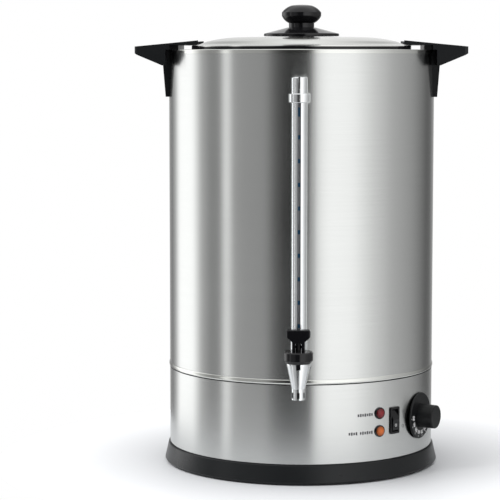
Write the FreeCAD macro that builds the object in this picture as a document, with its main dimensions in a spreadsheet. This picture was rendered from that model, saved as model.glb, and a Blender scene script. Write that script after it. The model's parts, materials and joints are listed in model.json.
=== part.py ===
import FreeCAD, Part
import math
import os
import re

import Sketcher

# Driving dimensions, in millimetres and degrees. A text that starts with = is worked out from others.
# Heights named as a rise are above the rim or, on the tap, above the middle of the gauge shank.
DIMENSIONS = {
    # Outer shell and lower housing
    "shell_radius": 155.0,
    "shell_wall": 0.8,
    "shell_inside": "=shell_radius - shell_wall",
    "seam_height": 118.0,
    "rim_height": 484.0,
    "collar_height": 5.0,
    "collar_joggle": 2.0,
    "collar_clearance": 0.1,
    "collar_radius": "=shell_inside - collar_clearance",
    # Tank
    "tank_gap": 31.0,
    "tank_radius": "=shell_radius - tank_gap",
    "tank_wall": 0.8,
    "tank_outside": "=tank_radius + tank_wall",
    "tank_floor": 116.0,
    "tank_corner": 7.0,
    "floor_underside": "=tank_floor - tank_wall",
    "inner_washer_radius": 13.7,
    "washer_floor_gap": 0.1,
    "shank_height": "=floor_underside + tank_corner + inner_washer_radius + washer_floor_gap",
    "hem_step": 0.8,
    "hem_depth": 4.4,
    "hem_radius": "=shell_radius + hem_step",
    # Base
    "base_height": 22.2,
    "base_flare": 6.0,
    "base_top_step": 1.8,
    "base_radius": "=shell_radius + base_flare",
    "base_lip": 2.5,
    "base_ring_wall": 6.0,
    "base_ring_inside": "=shell_radius - base_ring_wall",
    "foot_lift": 1.5,
    "ledge_width": 11.0,
    "ledge_inside": "=base_ring_inside - ledge_width",
    "ledge_height": 6.0,
    "ledge_thickness": 3.5,
    "ledge_top": "=ledge_height + ledge_thickness",
    "plate_thickness": 1.5,
    "plate_bottom": "=ledge_height - plate_thickness",
    "fit_clearance": 0.1,
    "base_screw_circle": "=base_ring_inside - base_ring_wall",
    "base_screw_radius": 2.0,
    "base_screw_head": 4.0,
    "base_screw_head_height": 2.0,
    "base_screw_length": 9.0,
    "foot_circle": "=ledge_inside - 12",
    "foot_radius": 9.0,
    "foot_stem_radius": 3.0,
    "foot_stem_height": 3.0,
    # Insulation between tank and shell
    "sleeve_gap": 0.3,
    "sleeve_thickness": 22.0,
    "sleeve_bottom": "=shank_height + 24",
    "sleeve_top": 425.0,
    # Heater under the tank floor
    "heater_plate_radius": 82.0,
    "heater_plate_thickness": 6.0,
    "heater_plate_bottom": "=floor_underside - heater_plate_thickness",
    "element_radius": 62.0,
    "element_tube": 4.2,
    "element_height": "=heater_plate_bottom - element_tube",
    "element_sweep": 330.0,
    "element_drop": 22.0,
    "element_bottom": "=element_height - element_drop",
    "tab_length": 12.0,
    "tab_width": 6.3,
    "tab_thickness": 0.8,
    "clamp_length": 150.0,
    "clamp_width": 18.0,
    "clamp_thickness": 2.0,
    "clamp_top": "=element_height - element_tube",
    "clamp_bottom": "=clamp_top - clamp_thickness",
    "stud_radius": 4.0,
    "stud_below_nut": 2.0,
    "nut_height": 6.5,
    "nut_radius": 7.5,
    "cutout_radius": 9.0,
    "cutout_height": 9.0,
    "cutout_distance": "=tank_radius - 21",
    "bulb_radius": 3.0,
    "bulb_length": 60.0,
    "bulb_distance": "=tank_radius - 32",
    # Controls on the lower housing; azimuths are turned from the front to the right
    "lamp_azimuth": 35.7,
    "upper_lamp_height": 76.7,
    "lower_lamp_height": 56.4,
    "lamp_bezel_radius": 6.7,
    "lamp_bezel_thickness": 1.6,
    "lamp_lens_radius": 5.4,
    "lamp_lens_rise": 4.2,
    "lamp_lens_edge": 2.2,
    "lamp_body_radius": 4.8,
    "lamp_body_depth": 24.0,
    "lamp_nut_radius": 7.5,
    "lamp_nut_height": 3.0,
    "lamp_nut_gap": 0.4,
    "switch_azimuth": 43.9,
    "switch_height": 66.3,
    "bezel_length": 30.6,
    "bezel_width": 14.0,
    "bezel_thickness": 1.6,
    "bezel_corner": 1.2,
    "switch_length": 27.8,
    "switch_width": 12.4,
    "switch_depth": 20.0,
    "rocker_length": 24.0,
    "rocker_width": 9.2,
    "rocker_gap": 0.35,
    "rocker_end_gap": 0.9,
    "rocker_bay": 11.0,
    "rocker_ridge": 3.4,
    "rocker_edge": 0.2,
    "rocker_root": 3.2,
    "rocker_tilt": 10.0,
    "rocker_pivot_depth": 3.6,
    "rocker_axle": 1.4,
    "rocker_axle_length": 11.0,
    "running_clearance": 0.06,
    "thermostat_azimuth": 62.0,
    "thermostat_height": 65.0,
    "thermostat_size": 34.0,
    "thermostat_depth": 24.0,
    "thermostat_setback": 2.4,
    "bushing_radius": 4.8,
    "bushing_rise": 5.0,
    "thermostat_nut_radius": 7.0,
    "thermostat_nut_height": 1.8,
    "shaft_radius": 3.0,
    "shaft_depth": 14.0,
    "shaft_engagement": 11.0,
    "skirt_radius": 26.5,
    "skirt_thickness": 2.2,
    "skirt_gap": 0.8,
    "skirt_wall": 1.4,
    "grip_radius": 13.8,
    "grip_height": 19.3,
    "grip_round": 1.2,
    # Mains inlet at the rear
    "inlet_height": 62.0,
    "inlet_flange_height": 50.0,
    "inlet_flange_width": 24.0,
    "inlet_flange_thickness": 3.0,
    "inlet_body_height": 28.0,
    "inlet_body_width": 20.5,
    "inlet_body_depth": 20.0,
    "inlet_socket_height": 25.0,
    "inlet_socket_width": 17.0,
    "inlet_socket_depth": 17.0,
    "inlet_pin_spacing": 7.0,
    "inlet_pin_offset": 2.0,
    "inlet_pin_width": 4.0,
    "inlet_pin_thickness": 2.0,
    "inlet_pin_length": 14.0,
    "inlet_screw_spacing": 40.0,
    "inlet_screw_radius": 1.5,
    "inlet_screw_head": 2.8,
    "inlet_screw_head_height": 1.8,
    "inlet_screw_length": 11.0,
    "terminal_length": 44.0,
    "terminal_width": 18.0,
    "terminal_height": 16.0,
    "terminal_distance": 58.0,
    "terminal_hole_radius": 2.2,
    "earth_distance": "=ledge_inside - 42",
    "earth_stud_radius": 2.5,
    "earth_stud_height": 16.0,
    "earth_nut_radius": 4.6,
    "earth_nut_height": 4.0,
    # Handles
    "handle_width": 105.0,
    "handle_reach": 36.2,
    "handle_tip": "=shell_radius + handle_reach",
    "handle_tip_rise": 3.6,
    "handle_slope": 0.0957,
    "handle_end_height": 7.8,
    "end_chamfer": 3.2,
    "leg_length": 54.4,
    "leg_foot_thickness": 2.4,
    "leg_thickness": 4.6,
    "gusset_drop": 18.0,
    "gusset_wall": 3.5,
    "top_wall": 3.6,
    "web_thickness": 4.0,
    "leg_foot_half_width": 27.0,
    "leg_top_half_width": 36.0,
    "tab_radius": "=tank_radius + 5",
    "tab_gap": 0.4,
    "tab_underside": "=rim_height + brim_rise + brim_crown + tab_gap",
    "block_inside": "=shell_radius - 14",
    "block_half_width": 47.0,
    "handle_seat_gap": 0.05,
    "handle_screw_radius": 2.0,
    "handle_screw_head": 4.0,
    "handle_screw_head_height": 1.6,
    "handle_screw_seat": 1.4,
    "lower_screw_drop": 45.0,
    "upper_screw_drop": 12.0,
    "backing_thickness": 1.5,
    "backing_width": 24.0,
    "backing_margin": 8.0,
    "handle_nut_height": 3.0,
    "handle_nut_radius": 4.0,
    # Lid
    "brim_radius": "=tank_radius + 12",
    "brim_rise": 4.0,
    "brim_crown": 1.0,
    "lid_wall": 0.8,
    "lid_ring_height": 3.3,
    "skirt_clearance": 1.0,
    "lid_skirt_radius": "=tank_radius - skirt_clearance",
    "lid_skirt_depth": 11.0,
    "lid_ring_gap": 0.4,
    "shoulder_radius": "=tank_radius - 12",
    "shoulder_foot_radius": "=shoulder_radius + 6.5",
    "shoulder_rise": 9.2,
    "shoulder_foot_rise": 6.6,
    "flat_radius": 70.0,
    "flat_rise": 14.5,
    "crown_rise": 14.8,
    "crown_bow": 168.0,
    "notch_gap": 0.8,
    "stem_hole": 3.3,
    # Knob
    "knob_screw_radius": 3.0,
    "knob_screw_head": 6.0,
    "knob_screw_head_height": 3.5,
    "knob_screw_length": 26.0,
    "knob_washer_radius": 11.0,
    "knob_washer_thickness": 1.5,
    "flange_radius": 44.0,
    "flange_boss_radius": 15.0,
    "flange_gap": 1.2,
    "flange_edge": 3.0,
    "flange_top_radius": 16.5,
    "flange_height": 11.2,
    "flange_wall": 2.6,
    "neck_radius": 14.8,
    "neck_height": 5.0,
    "knob_radius": 23.0,
    "knob_height": 26.5,
    "knob_band": 4.0,
    "knob_band_height": 15.5,
    "knob_top_radius": 12.0,
    "knob_top_dome": 1.0,
    # Sight gauge and tap
    "shank_radius": 8.0,
    "shank_bore": 4.5,
    "tap_thread_radius": 6.2,
    "shank_hole_gap": 0.2,
    "shank_inner_end": 8.0,
    "shank_collar_radius": 13.5,
    "shank_collar_thickness": 3.0,
    "washer_thickness": 2.0,
    "inner_washer_sink": 0.85,
    "shank_nut_thickness": 3.5,
    "shank_nut_radius": 13.5,
    "spacer_radius": 12.0,
    "spacer_outer_gap": 0.55,
    "spacer_inner_gap": 0.1,
    "gauge_reach": 15.0,
    "gauge_distance": "=shell_radius + gauge_reach",
    "tap_reach": 42.0,
    "tap_distance": "=shell_radius + tap_reach",
    "boss_radius": 9.0,
    "boss_top_rise": 16.0,
    "boss_bottom_drop": 10.0,
    "gauge_seat_rise": 10.0,
    "glass_radius": 5.0,
    "glass_wall": 1.4,
    "glass_gap": 0.1,
    "glass_top": 434.0,
    "gauge_nut_radius": 9.3,
    "gauge_nut_height": 13.0,
    "gauge_seal_radius": 7.5,
    "gauge_seal_thickness": 2.0,
    "shield_radius": 8.8,
    "shield_wall": 1.0,
    "shield_top": 426.0,
    "slot_width": 3.8,
    "scale_width": 4.0,
    "scale_thickness": 0.5,
    "scale_bottom": "=shank_height + 40",
    "scale_top": 416.0,
    "gauge_ring_radius": 12.0,
    "gauge_ring_height": 10.0,
    "gauge_cap_radius": 9.0,
    "gauge_cap_height": 18.0,
    "gauge_cap_slot": 2.0,
    "gauge_cap_slot_depth": 2.0,
    "gauge_cap_slot_start": 5.0,
    "spout_radius": 7.4,
    "spout_bore": 4.5,
    "spout_drop": 32.0,
    "spout_straight_drop": 20.0,
    "cone_rise": 6.5,
    "cone_radius": 13.0,
    "body_top_rise": 8.0,
    "chamber_radius": 7.5,
    "seat_drop": 8.0,
    "socket_radius": 7.9,
    "socket_length": 15.0,
    "socket_thread_depth": 6.0,
    "window_width": 3.0,
    "window_height": 7.0,
    "window_margin": 1.2,
    "tongue_width": 4.6,
    "tongue_length": 6.0,
    "tongue_thickness": 1.6,
    "tongue_inset": 2.2,
    "bonnet_radius": 16.15,
    "bonnet_height": 13.0,
    "bonnet_taper": 2.6,
    "bonnet_taper_height": 3.5,
    "bonnet_edge": 1.2,
    "bonnet_cavity": 8.0,
    "bonnet_roof": 3.0,
    "bonnet_top_rise": "=body_top_rise + bonnet_height",
    "tap_stem_radius": 3.0,
    "stem_collar_radius": 6.6,
    "stem_collar_height": 3.0,
    "seat_thickness": 3.0,
    "seat_radius": 7.0,
    "spring_inner": 3.8,
    "spring_outer": 6.4,
    "pin_rise": 5.0,
    "pin_radius": 1.5,
    "stem_head": 3.4,
    "lever_neck_width": 14.0,
    "lever_neck_depth": 12.0,
    "lever_neck_height": 12.0,
    "lever_fork_gap": 0.3,
    "lever_fork_depth": 10.0,
    "lever_seat_gap": 0.06,
    "lever_head_width": 26.0,
    "lever_head_depth": 13.0,
    "lever_head_height": 12.0,
    "lever_head_taper": 4.0,
    "lever_round": 1.6,
}

doc = FreeCAD.newDocument("HotWaterUrn")
sheet = doc.addObject("Spreadsheet::Sheet", "Dims")
for row, (alias, size) in enumerate(DIMENSIONS.items(), start=1):
    sheet.set(f"A{row}", alias)
    sheet.set(f"B{row}", str(size))
    sheet.setAlias(f"B{row}", alias)
doc.recompute()

nodes = {}


def bound(words):
    """An expression in the sheet's names, as other objects have to write it."""
    return re.sub(r"[a-z_]+[a-z]", lambda found: f"Dims.{found[0]}" if found[0] in DIMENSIONS else found[0], words)


def number(words):
    value = sheet.evalExpression(words)
    return float(getattr(value, "Value", value))


def node(label, thing):
    """Gives a finished sub-part its name, which is also its file's name."""
    thing.Label = label
    nodes[label] = thing
    return thing


def bind(thing, **sizes):
    for name, words in sizes.items():
        thing.setExpression(name, bound(words))
    return thing


def origin_plane(body, role):
    return next(feature for feature in body.Origin.OriginFeatures if feature.Role == role)


def pin_corner(sketch, edge, end, across, up):
    """Holds one end of an edge at a place that the sheet gives."""
    for kind, words in (("DistanceX", across), ("DistanceY", up)):
        index = sketch.addConstraint(Sketcher.Constraint(kind, -1, 1, edge, end, number(words)))
        sketch.setExpression(f"Constraints[{index}]", bound(words))


def bowed_edge(start, end, radius):
    """An arc from start to end; a positive radius turns anticlockwise."""
    chord = end - start
    side = 1 if radius > 0 else -1
    across = FreeCAD.Vector(-chord.y, chord.x, 0).normalize()
    centre = (start + end) / 2 + across * side * (radius**2 - (chord.Length / 2) ** 2) ** 0.5
    first, last = (start, end) if side > 0 else (end, start)
    angles = [math.atan2(point.y - centre.y, point.x - centre.x) for point in (first, last)]
    return Part.ArcOfCircle(Part.Circle(centre, FreeCAD.Vector(0, 0, 1), abs(radius)), *angles)


def dome(half_width, rise):
    """The radius of a cap that meets the axis squarely."""
    return f"({half_width} ^ 2 + {rise} ^ 2) / (2 * {rise})"


def outline(body, name, role, corners):
    """A closed outline. Each corner is (across, up), or (across, up, radius) where an arc leads to it."""
    sketch = body.newObject("Sketcher::SketchObject", name)
    sketch.AttachmentSupport = [(origin_plane(body, role), "")]
    sketch.MapMode = "FlatFace"
    points = [FreeCAD.Vector(number(corner[0]), number(corner[1]), 0) for corner in corners]
    for index, corner in enumerate(corners):
        if len(corner) == 3:
            sketch.addGeometry(bowed_edge(points[index - 1], points[index], number(corner[2])), False)
        else:
            sketch.addGeometry(Part.LineSegment(points[index - 1], points[index]), False)
    backwards = [len(corner) == 3 and number(corner[2]) < 0 for corner in corners]
    for index, corner in enumerate(corners):
        previous = (index - 1) % len(corners)
        previous_end = 1 if backwards[previous] else 2
        this_start = 2 if backwards[index] else 1
        sketch.addConstraint(Sketcher.Constraint("Coincident", previous, previous_end, index, this_start))
        pin_corner(sketch, index, 1 if backwards[index] else 2, corner[0], corner[1])
        if len(corner) == 3:
            size = corner[2].lstrip("-")
            place = sketch.addConstraint(Sketcher.Constraint("Radius", index, abs(number(corner[2]))))
            sketch.setExpression(f"Constraints[{place}]", bound(size))
    return sketch


def turned(name, corners):
    """A piece turned about its own z axis."""
    body = doc.addObject("PartDesign::Body", name)
    sketch = outline(body, f"{name}_outline", "XZ_Plane", corners)
    turn = body.newObject("PartDesign::Revolution", f"{name}_turn")
    turn.Profile = sketch
    turn.ReferenceAxis = (sketch, ["V_Axis"])
    turn.Angle = 360
    body.Tip = turn
    return body


def extruded(name, role, corners, length):
    """A piece of one outline, as thick to both sides of its plane."""
    body = doc.addObject("PartDesign::Body", name)
    pad = body.newObject("PartDesign::Pad", f"{name}_pad")
    pad.Profile = outline(body, f"{name}_outline", role, corners)
    pad.Midplane = True
    bind(pad, Length=length)
    body.Tip = pad
    return body


def round_edges(body, name, radius, choose):
    """Rounds the edges of a body that a test on their middle picks out."""
    doc.recompute()
    base = body.Tip
    names = []
    for index, edge in enumerate(base.Shape.Edges, start=1):
        middle = edge.valueAt((edge.FirstParameter + edge.LastParameter) / 2)
        if choose(edge, middle):
            names.append(f"Edge{index}")
    fillet = body.newObject("PartDesign::Fillet", name)
    fillet.Base = (base, names)
    bind(fillet, Radius=radius)
    body.Tip = fillet
    return body


def cylinder(name, radius, height, **place):
    thing = doc.addObject("Part::Cylinder", name)
    bind(thing, Radius=radius, Height=height)
    return put(thing, **place)


def box(name, length, width, height, **place):
    """A block centred on its own x and y, standing on its own z."""
    thing = doc.addObject("Part::Box", name)
    bind(thing, Length=length, Width=width, Height=height)
    place["centre"] = (length, width)
    return put(thing, **place)


def hexagon(name, radius, height, **place):
    thing = doc.addObject("Part::Prism", name)
    thing.Polygon = 6
    bind(thing, Circumradius=radius, Height=height)
    return put(thing, **place)


def put(thing, x="0", y="0", z="0", azimuth=None, level="0", turn=None, centre=None):
    """Places a piece. With an azimuth it stands on the round wall at that level: z points out, y points up."""
    if centre:
        x = f"({x}) - ({centre[0]}) / 2"
        y = f"({y}) - ({centre[1]}) / 2"
    local = f"create(<<placement>>; create(<<vector>>; {x}; {y}; {z}); create(<<rotation>>; 0; 0; 0))"
    if azimuth is not None:
        wall = f"create(<<placement>>; create(<<vector>>; 0; 0; {level}); create(<<rotation>>; {azimuth}; 0; 90))"
        local = f"{wall} * {local}"
    if turn is not None:
        about = f"create(<<placement>>; create(<<vector>>; 0; 0; 0); create(<<rotation>>; {turn}; 0; 0))"
        local = f"{about} * {local}"
    thing.setExpression("Placement", bound(local))
    return thing


def joined(name, *pieces):
    thing = doc.addObject("Part::MultiFuse", name)
    thing.Shapes = list(pieces)
    return thing


def group(name, *pieces):
    """Separate solids that share one node."""
    thing = doc.addObject("Part::Compound", name)
    thing.Links = list(pieces)
    return thing


def cut(name, base, *tools):
    thing = doc.addObject("Part::Cut", name)
    thing.Base = base
    thing.Tool = tools[0] if len(tools) == 1 else joined(f"{name}_tools", *tools)
    return thing


def spread(count, first=0.0):
    """Azimuths of evenly spread copies."""
    return [f"{first + index * 360.0 / count}" for index in range(count)]


# Base: ring, plate, screws and feet
BASE_SCREWS = spread(4, 20.0)
FEET = spread(4, 45.0)


def base_screw_holes(name, bottom, height):
    return [
        cylinder(f"{name}_{index}", "base_screw_radius + fit_clearance", height,
                 y="-base_screw_circle", z=bottom, turn=azimuth)
        for index, azimuth in enumerate(BASE_SCREWS)
    ]


def make_base():
    ring = turned("base_ring_blank", [
        ("base_ring_inside", "foot_lift"),
        ("base_radius - 1", "foot_lift"),
        ("base_radius", "foot_lift + 2"),
        ("shell_radius + base_top_step", "base_height - 0.8"),
        ("shell_radius + base_top_step - 0.8", "base_height"),
        ("shell_radius + fit_clearance", "base_height"),
        ("shell_radius + fit_clearance", "ledge_top"),
        ("ledge_inside", "ledge_top"),
        ("ledge_inside", "ledge_height"),
        ("base_ring_inside", "ledge_height"),
    ])
    node("base_ring", cut("base_ring_cut", ring, *base_screw_holes("ring_hole", "0", "ledge_top + 1")))
    plate = turned("base_plate_blank", [
        ("0", "plate_bottom"),
        ("base_ring_inside - fit_clearance", "plate_bottom"),
        ("base_ring_inside - fit_clearance", "ledge_height"),
        ("0", "ledge_height"),
    ])
    stem_holes = [
        cylinder(f"foot_hole_{index}", "foot_stem_radius + fit_clearance", "ledge_height", y="-foot_circle", turn=azimuth)
        for index, azimuth in enumerate(FEET)
    ]
    holes = base_screw_holes("plate_hole", "0", "ledge_top")
    earth_hole = cylinder("earth_hole", "earth_stud_radius + fit_clearance", "ledge_height", y="earth_distance")
    node("base_plate", cut("base_plate_cut", plate, *holes, *stem_holes, earth_hole))
    screws = []
    for index, azimuth in enumerate(BASE_SCREWS):
        screw = turned(f"base_screw_{index}", [
            ("0", "plate_bottom - base_screw_head_height"),
            ("base_screw_head - 0.8", "plate_bottom - base_screw_head_height"),
            ("base_screw_head", "plate_bottom - base_screw_head_height + 0.8"),
            ("base_screw_head", "plate_bottom"),
            ("base_screw_radius", "plate_bottom"),
            ("base_screw_radius", "plate_bottom + base_screw_length"),
            ("0", "plate_bottom + base_screw_length"),
        ])
        screws.append(put(screw, y="-base_screw_circle", turn=azimuth))
    node("base_screws", group("base_screw_group", *screws))
    feet = []
    for index, azimuth in enumerate(FEET):
        foot = turned(f"foot_{index}", [
            ("0", "0"),
            ("foot_radius - 1", "0"),
            ("foot_radius", "1"),
            ("foot_radius", "plate_bottom"),
            ("foot_stem_radius", "plate_bottom"),
            ("foot_stem_radius", "plate_bottom + foot_stem_height"),
            ("0", "plate_bottom + foot_stem_height"),
        ])
        feet.append(put(foot, y="-foot_circle", turn=azimuth))
    node("rubber_feet", group("feet_group", *feet))


# Walls: tank with its folded rim, outer shell, lower housing, insulation
def shank_hole(name):
    return cylinder(name, "shank_radius + shank_hole_gap", "shell_radius", z="tank_radius - 10",
                    azimuth="0", level="shank_height")


def handle_screw_holes(name):
    holes = []
    for side, azimuth in (("right", "90"), ("left", "-90")):
        for place in ("lower", "upper"):
            holes.append(cylinder(f"{name}_{side}_{place}", "handle_screw_radius + fit_clearance",
                                  "handle_reach", z="shell_radius - 12", azimuth=azimuth,
                                  level=f"rim_height - {place}_screw_drop"))
    return holes


def make_walls():
    tank = turned("tank_blank", [
        ("0", "floor_underside"),
        ("tank_outside - tank_corner", "floor_underside"),
        ("tank_outside", "floor_underside + tank_corner", "tank_corner"),
        ("tank_outside", "rim_height - tank_wall"),
        ("hem_radius - tank_wall", "rim_height - tank_wall"),
        ("hem_radius - tank_wall", "rim_height - hem_depth"),
        ("hem_radius", "rim_height - hem_depth"),
        ("hem_radius", "rim_height - 1"),
        ("hem_radius - 1", "rim_height", "1"),
        ("tank_radius", "rim_height"),
        ("tank_radius", "floor_underside + tank_corner"),
        ("tank_outside - tank_corner", "tank_floor", "-(tank_corner - tank_wall)"),
        ("0", "tank_floor"),
    ])
    node("water_tank", cut("tank_cut", tank, shank_hole("tank_hole")))
    shell = turned("shell_blank", [
        ("shell_inside", "seam_height"),
        ("shell_radius", "seam_height"),
        ("shell_radius", "rim_height - tank_wall"),
        ("shell_inside", "rim_height - tank_wall"),
    ])
    node("outer_shell", cut("shell_cut", shell, shank_hole("shell_hole"), *handle_screw_holes("shell_screw")))
    housing = turned("housing_blank", [
        ("ledge_inside", "ledge_top"),
        ("shell_radius", "ledge_top"),
        ("shell_radius", "seam_height - 0.4"),
        ("collar_radius", "seam_height - 0.4"),
        ("collar_radius", "seam_height + collar_height"),
        ("collar_radius - shell_wall", "seam_height + collar_height"),
        ("collar_radius - shell_wall", "seam_height - collar_joggle"),
        ("shell_inside", "seam_height - collar_joggle - 1"),
        ("shell_inside", "ledge_top + shell_wall"),
        ("ledge_inside", "ledge_top + shell_wall"),
    ])
    lamp_holes = [
        cylinder(f"{place}_lamp_hole", "lamp_body_radius + fit_clearance", "30", z="shell_radius - 15",
                 azimuth="lamp_azimuth", level=f"{place}_lamp_height")
        for place in ("upper", "lower")
    ]
    switch_hole = box("switch_hole", "switch_width + 2 * fit_clearance", "switch_length + 2 * fit_clearance", "30",
                      z="shell_radius - 15", azimuth="switch_azimuth", level="switch_height")
    thermostat_hole = cylinder("thermostat_hole", "bushing_radius + fit_clearance", "30", z="shell_radius - 15",
                               azimuth="thermostat_azimuth", level="thermostat_height")
    inlet_hole = box("inlet_hole", "inlet_body_width + 2 * fit_clearance", "inlet_body_height + 2 * fit_clearance",
                     "30", z="shell_radius - 15", azimuth="180", level="inlet_height")
    inlet_screw_holes = [
        cylinder(f"inlet_screw_hole_{side}", "inlet_screw_radius + fit_clearance", "30", z="shell_radius - 15",
                 azimuth="180", level=f"inlet_height {side} inlet_screw_spacing / 2")
        for side in ("+", "-")
    ]
    node("lower_housing", cut("housing_cut", housing, *lamp_holes, switch_hole, thermostat_hole, inlet_hole,
                              *inlet_screw_holes, *base_screw_holes("housing_hole", "0", "ledge_top + 5")))
    node("insulation_sleeve", turned("sleeve", [
        ("tank_outside + sleeve_gap", "sleeve_bottom"),
        ("tank_outside + sleeve_gap + sleeve_thickness", "sleeve_bottom"),
        ("tank_outside + sleeve_gap + sleeve_thickness", "sleeve_top"),
        ("tank_outside + sleeve_gap", "sleeve_top"),
    ]))


# Heater, cutout and bulb under the tank floor
def make_heater():
    plate = turned("heater_plate_blank", [
        ("stud_radius + fit_clearance", "heater_plate_bottom"),
        ("heater_plate_radius", "heater_plate_bottom"),
        ("heater_plate_radius", "floor_underside"),
        ("stud_radius + fit_clearance", "floor_underside"),
    ])
    node("heater_plate", plate)
    loop = doc.addObject("Part::Torus", "element_loop")
    bind(loop, Radius1="element_radius", Radius2="element_tube", Angle3="element_sweep")
    start = "(90 + (360 - element_sweep) / 2)"
    loop.setExpression("Placement", bound(
        f"create(<<placement>>; create(<<vector>>; 0; 0; element_height); create(<<rotation>>; {start}; 0; 0))"))
    cold_ends = []
    tabs = []
    for side in ("-", "+"):
        turn = f"(0 {side} (360 - element_sweep) / 2)"
        name = "left" if side == "+" else "right"
        cold_ends.append(cylinder(f"cold_end_{name}", "element_tube", "element_drop", y="element_radius",
                                  z="element_bottom", turn=turn))
        ball = doc.addObject("Part::Sphere", f"cold_end_bend_{name}")
        bind(ball, Radius="element_tube")
        cold_ends.append(put(ball, y="element_radius", z="element_height", turn=turn))
        tabs.append(box(f"element_tab_{name}", "tab_width", "tab_thickness", "tab_length", y="element_radius",
                        z="element_bottom - tab_length", turn=turn))
    node("heating_element", joined("element", loop, *cold_ends))
    node("element_tabs", group("element_tab_group", *tabs))
    bar = box("clamp_bar", "clamp_length", "clamp_width", "clamp_thickness", z="clamp_bottom")
    bar_hole = cylinder("clamp_hole", "stud_radius + fit_clearance", "20", z="clamp_bottom - 10")
    node("element_clamp", cut("clamp_cut", bar, bar_hole))
    nut_bottom = "clamp_bottom - nut_height"
    node("clamp_stud", cylinder("stud", "stud_radius", f"floor_underside - ({nut_bottom} - stud_below_nut)",
                                z=f"{nut_bottom} - stud_below_nut"))
    nut = hexagon("clamp_nut_blank", "nut_radius", "nut_height", z=nut_bottom)
    nut_hole = cylinder("clamp_nut_hole", "stud_radius", "nut_height + 2", z=f"{nut_bottom} - 1")
    node("clamp_nut", cut("clamp_nut_cut", nut, nut_hole))
    node("thermal_cutout", turned("cutout", [
        ("0", "floor_underside - cutout_height"),
        ("cutout_radius * 0.6", "floor_underside - cutout_height"),
        ("cutout_radius * 0.6", "floor_underside - cutout_height / 2"),
        ("cutout_radius", "floor_underside - cutout_height / 2"),
        ("cutout_radius", "floor_underside"),
        ("0", "floor_underside"),
    ]))
    put(nodes["thermal_cutout"], x="-cutout_distance")
    bulb = doc.addObject("Part::Cylinder", "bulb")
    bind(bulb, Radius="bulb_radius", Height="bulb_length")
    bulb.setExpression("Placement", bound(
        "create(<<placement>>; create(<<vector>>; bulb_distance; bulb_length / 2;"
        " floor_underside - bulb_radius); create(<<rotation>>; 0; 0; 90))"))
    node("capillary_bulb", bulb)


# Lamps, rocker switch and thermostat
def make_lamps():
    bodies = []
    nuts = []
    for place, lens_name in (("upper", "heating_lens"), ("lower", "ready_lens")):
        level = f"{place}_lamp_height"
        inner_end = "shell_radius - lamp_body_depth"
        body = turned(f"{place}_lamp_body", [
            ("0", inner_end),
            ("lamp_body_radius", inner_end),
            ("lamp_body_radius", "shell_radius"),
            ("lamp_bezel_radius", "shell_radius"),
            ("lamp_bezel_radius", "shell_radius + lamp_bezel_thickness - 0.4"),
            ("lamp_bezel_radius - 0.4", "shell_radius + lamp_bezel_thickness"),
            ("lamp_lens_radius", "shell_radius + lamp_bezel_thickness"),
            ("lamp_lens_radius", "shell_radius + lamp_bezel_thickness - 0.8"),
            ("0", "shell_radius + lamp_bezel_thickness - 0.8"),
        ])
        bodies.append(put(body, azimuth="lamp_azimuth", level=level))
        lens = turned(f"{place}_lens", [
            ("0", "shell_radius + lamp_bezel_thickness - 0.8"),
            ("lamp_lens_radius", "shell_radius + lamp_bezel_thickness - 0.8"),
            ("lamp_lens_radius", "shell_radius + lamp_lens_edge"),
            ("0", "shell_radius + lamp_lens_rise", dome("lamp_lens_radius", "(lamp_lens_rise - lamp_lens_edge)")),
        ])
        node(lens_name, put(lens, azimuth="lamp_azimuth", level=level))
        nut_base = "shell_inside - lamp_nut_height - lamp_nut_gap"
        nut = hexagon(f"{place}_lamp_nut", "lamp_nut_radius", "lamp_nut_height", z=nut_base,
                      azimuth="lamp_azimuth", level=level)
        hole = cylinder(f"{place}_lamp_nut_hole", "lamp_body_radius", "lamp_nut_height + 2", z=f"{nut_base} - 1",
                        azimuth="lamp_azimuth", level=level)
        nuts.append(cut(f"{place}_lamp_nut_cut", nut, hole))
    node("lamp_bodies", group("lamp_body_group", *bodies))
    node("lamp_nuts", group("lamp_nut_group", *nuts))


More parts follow.
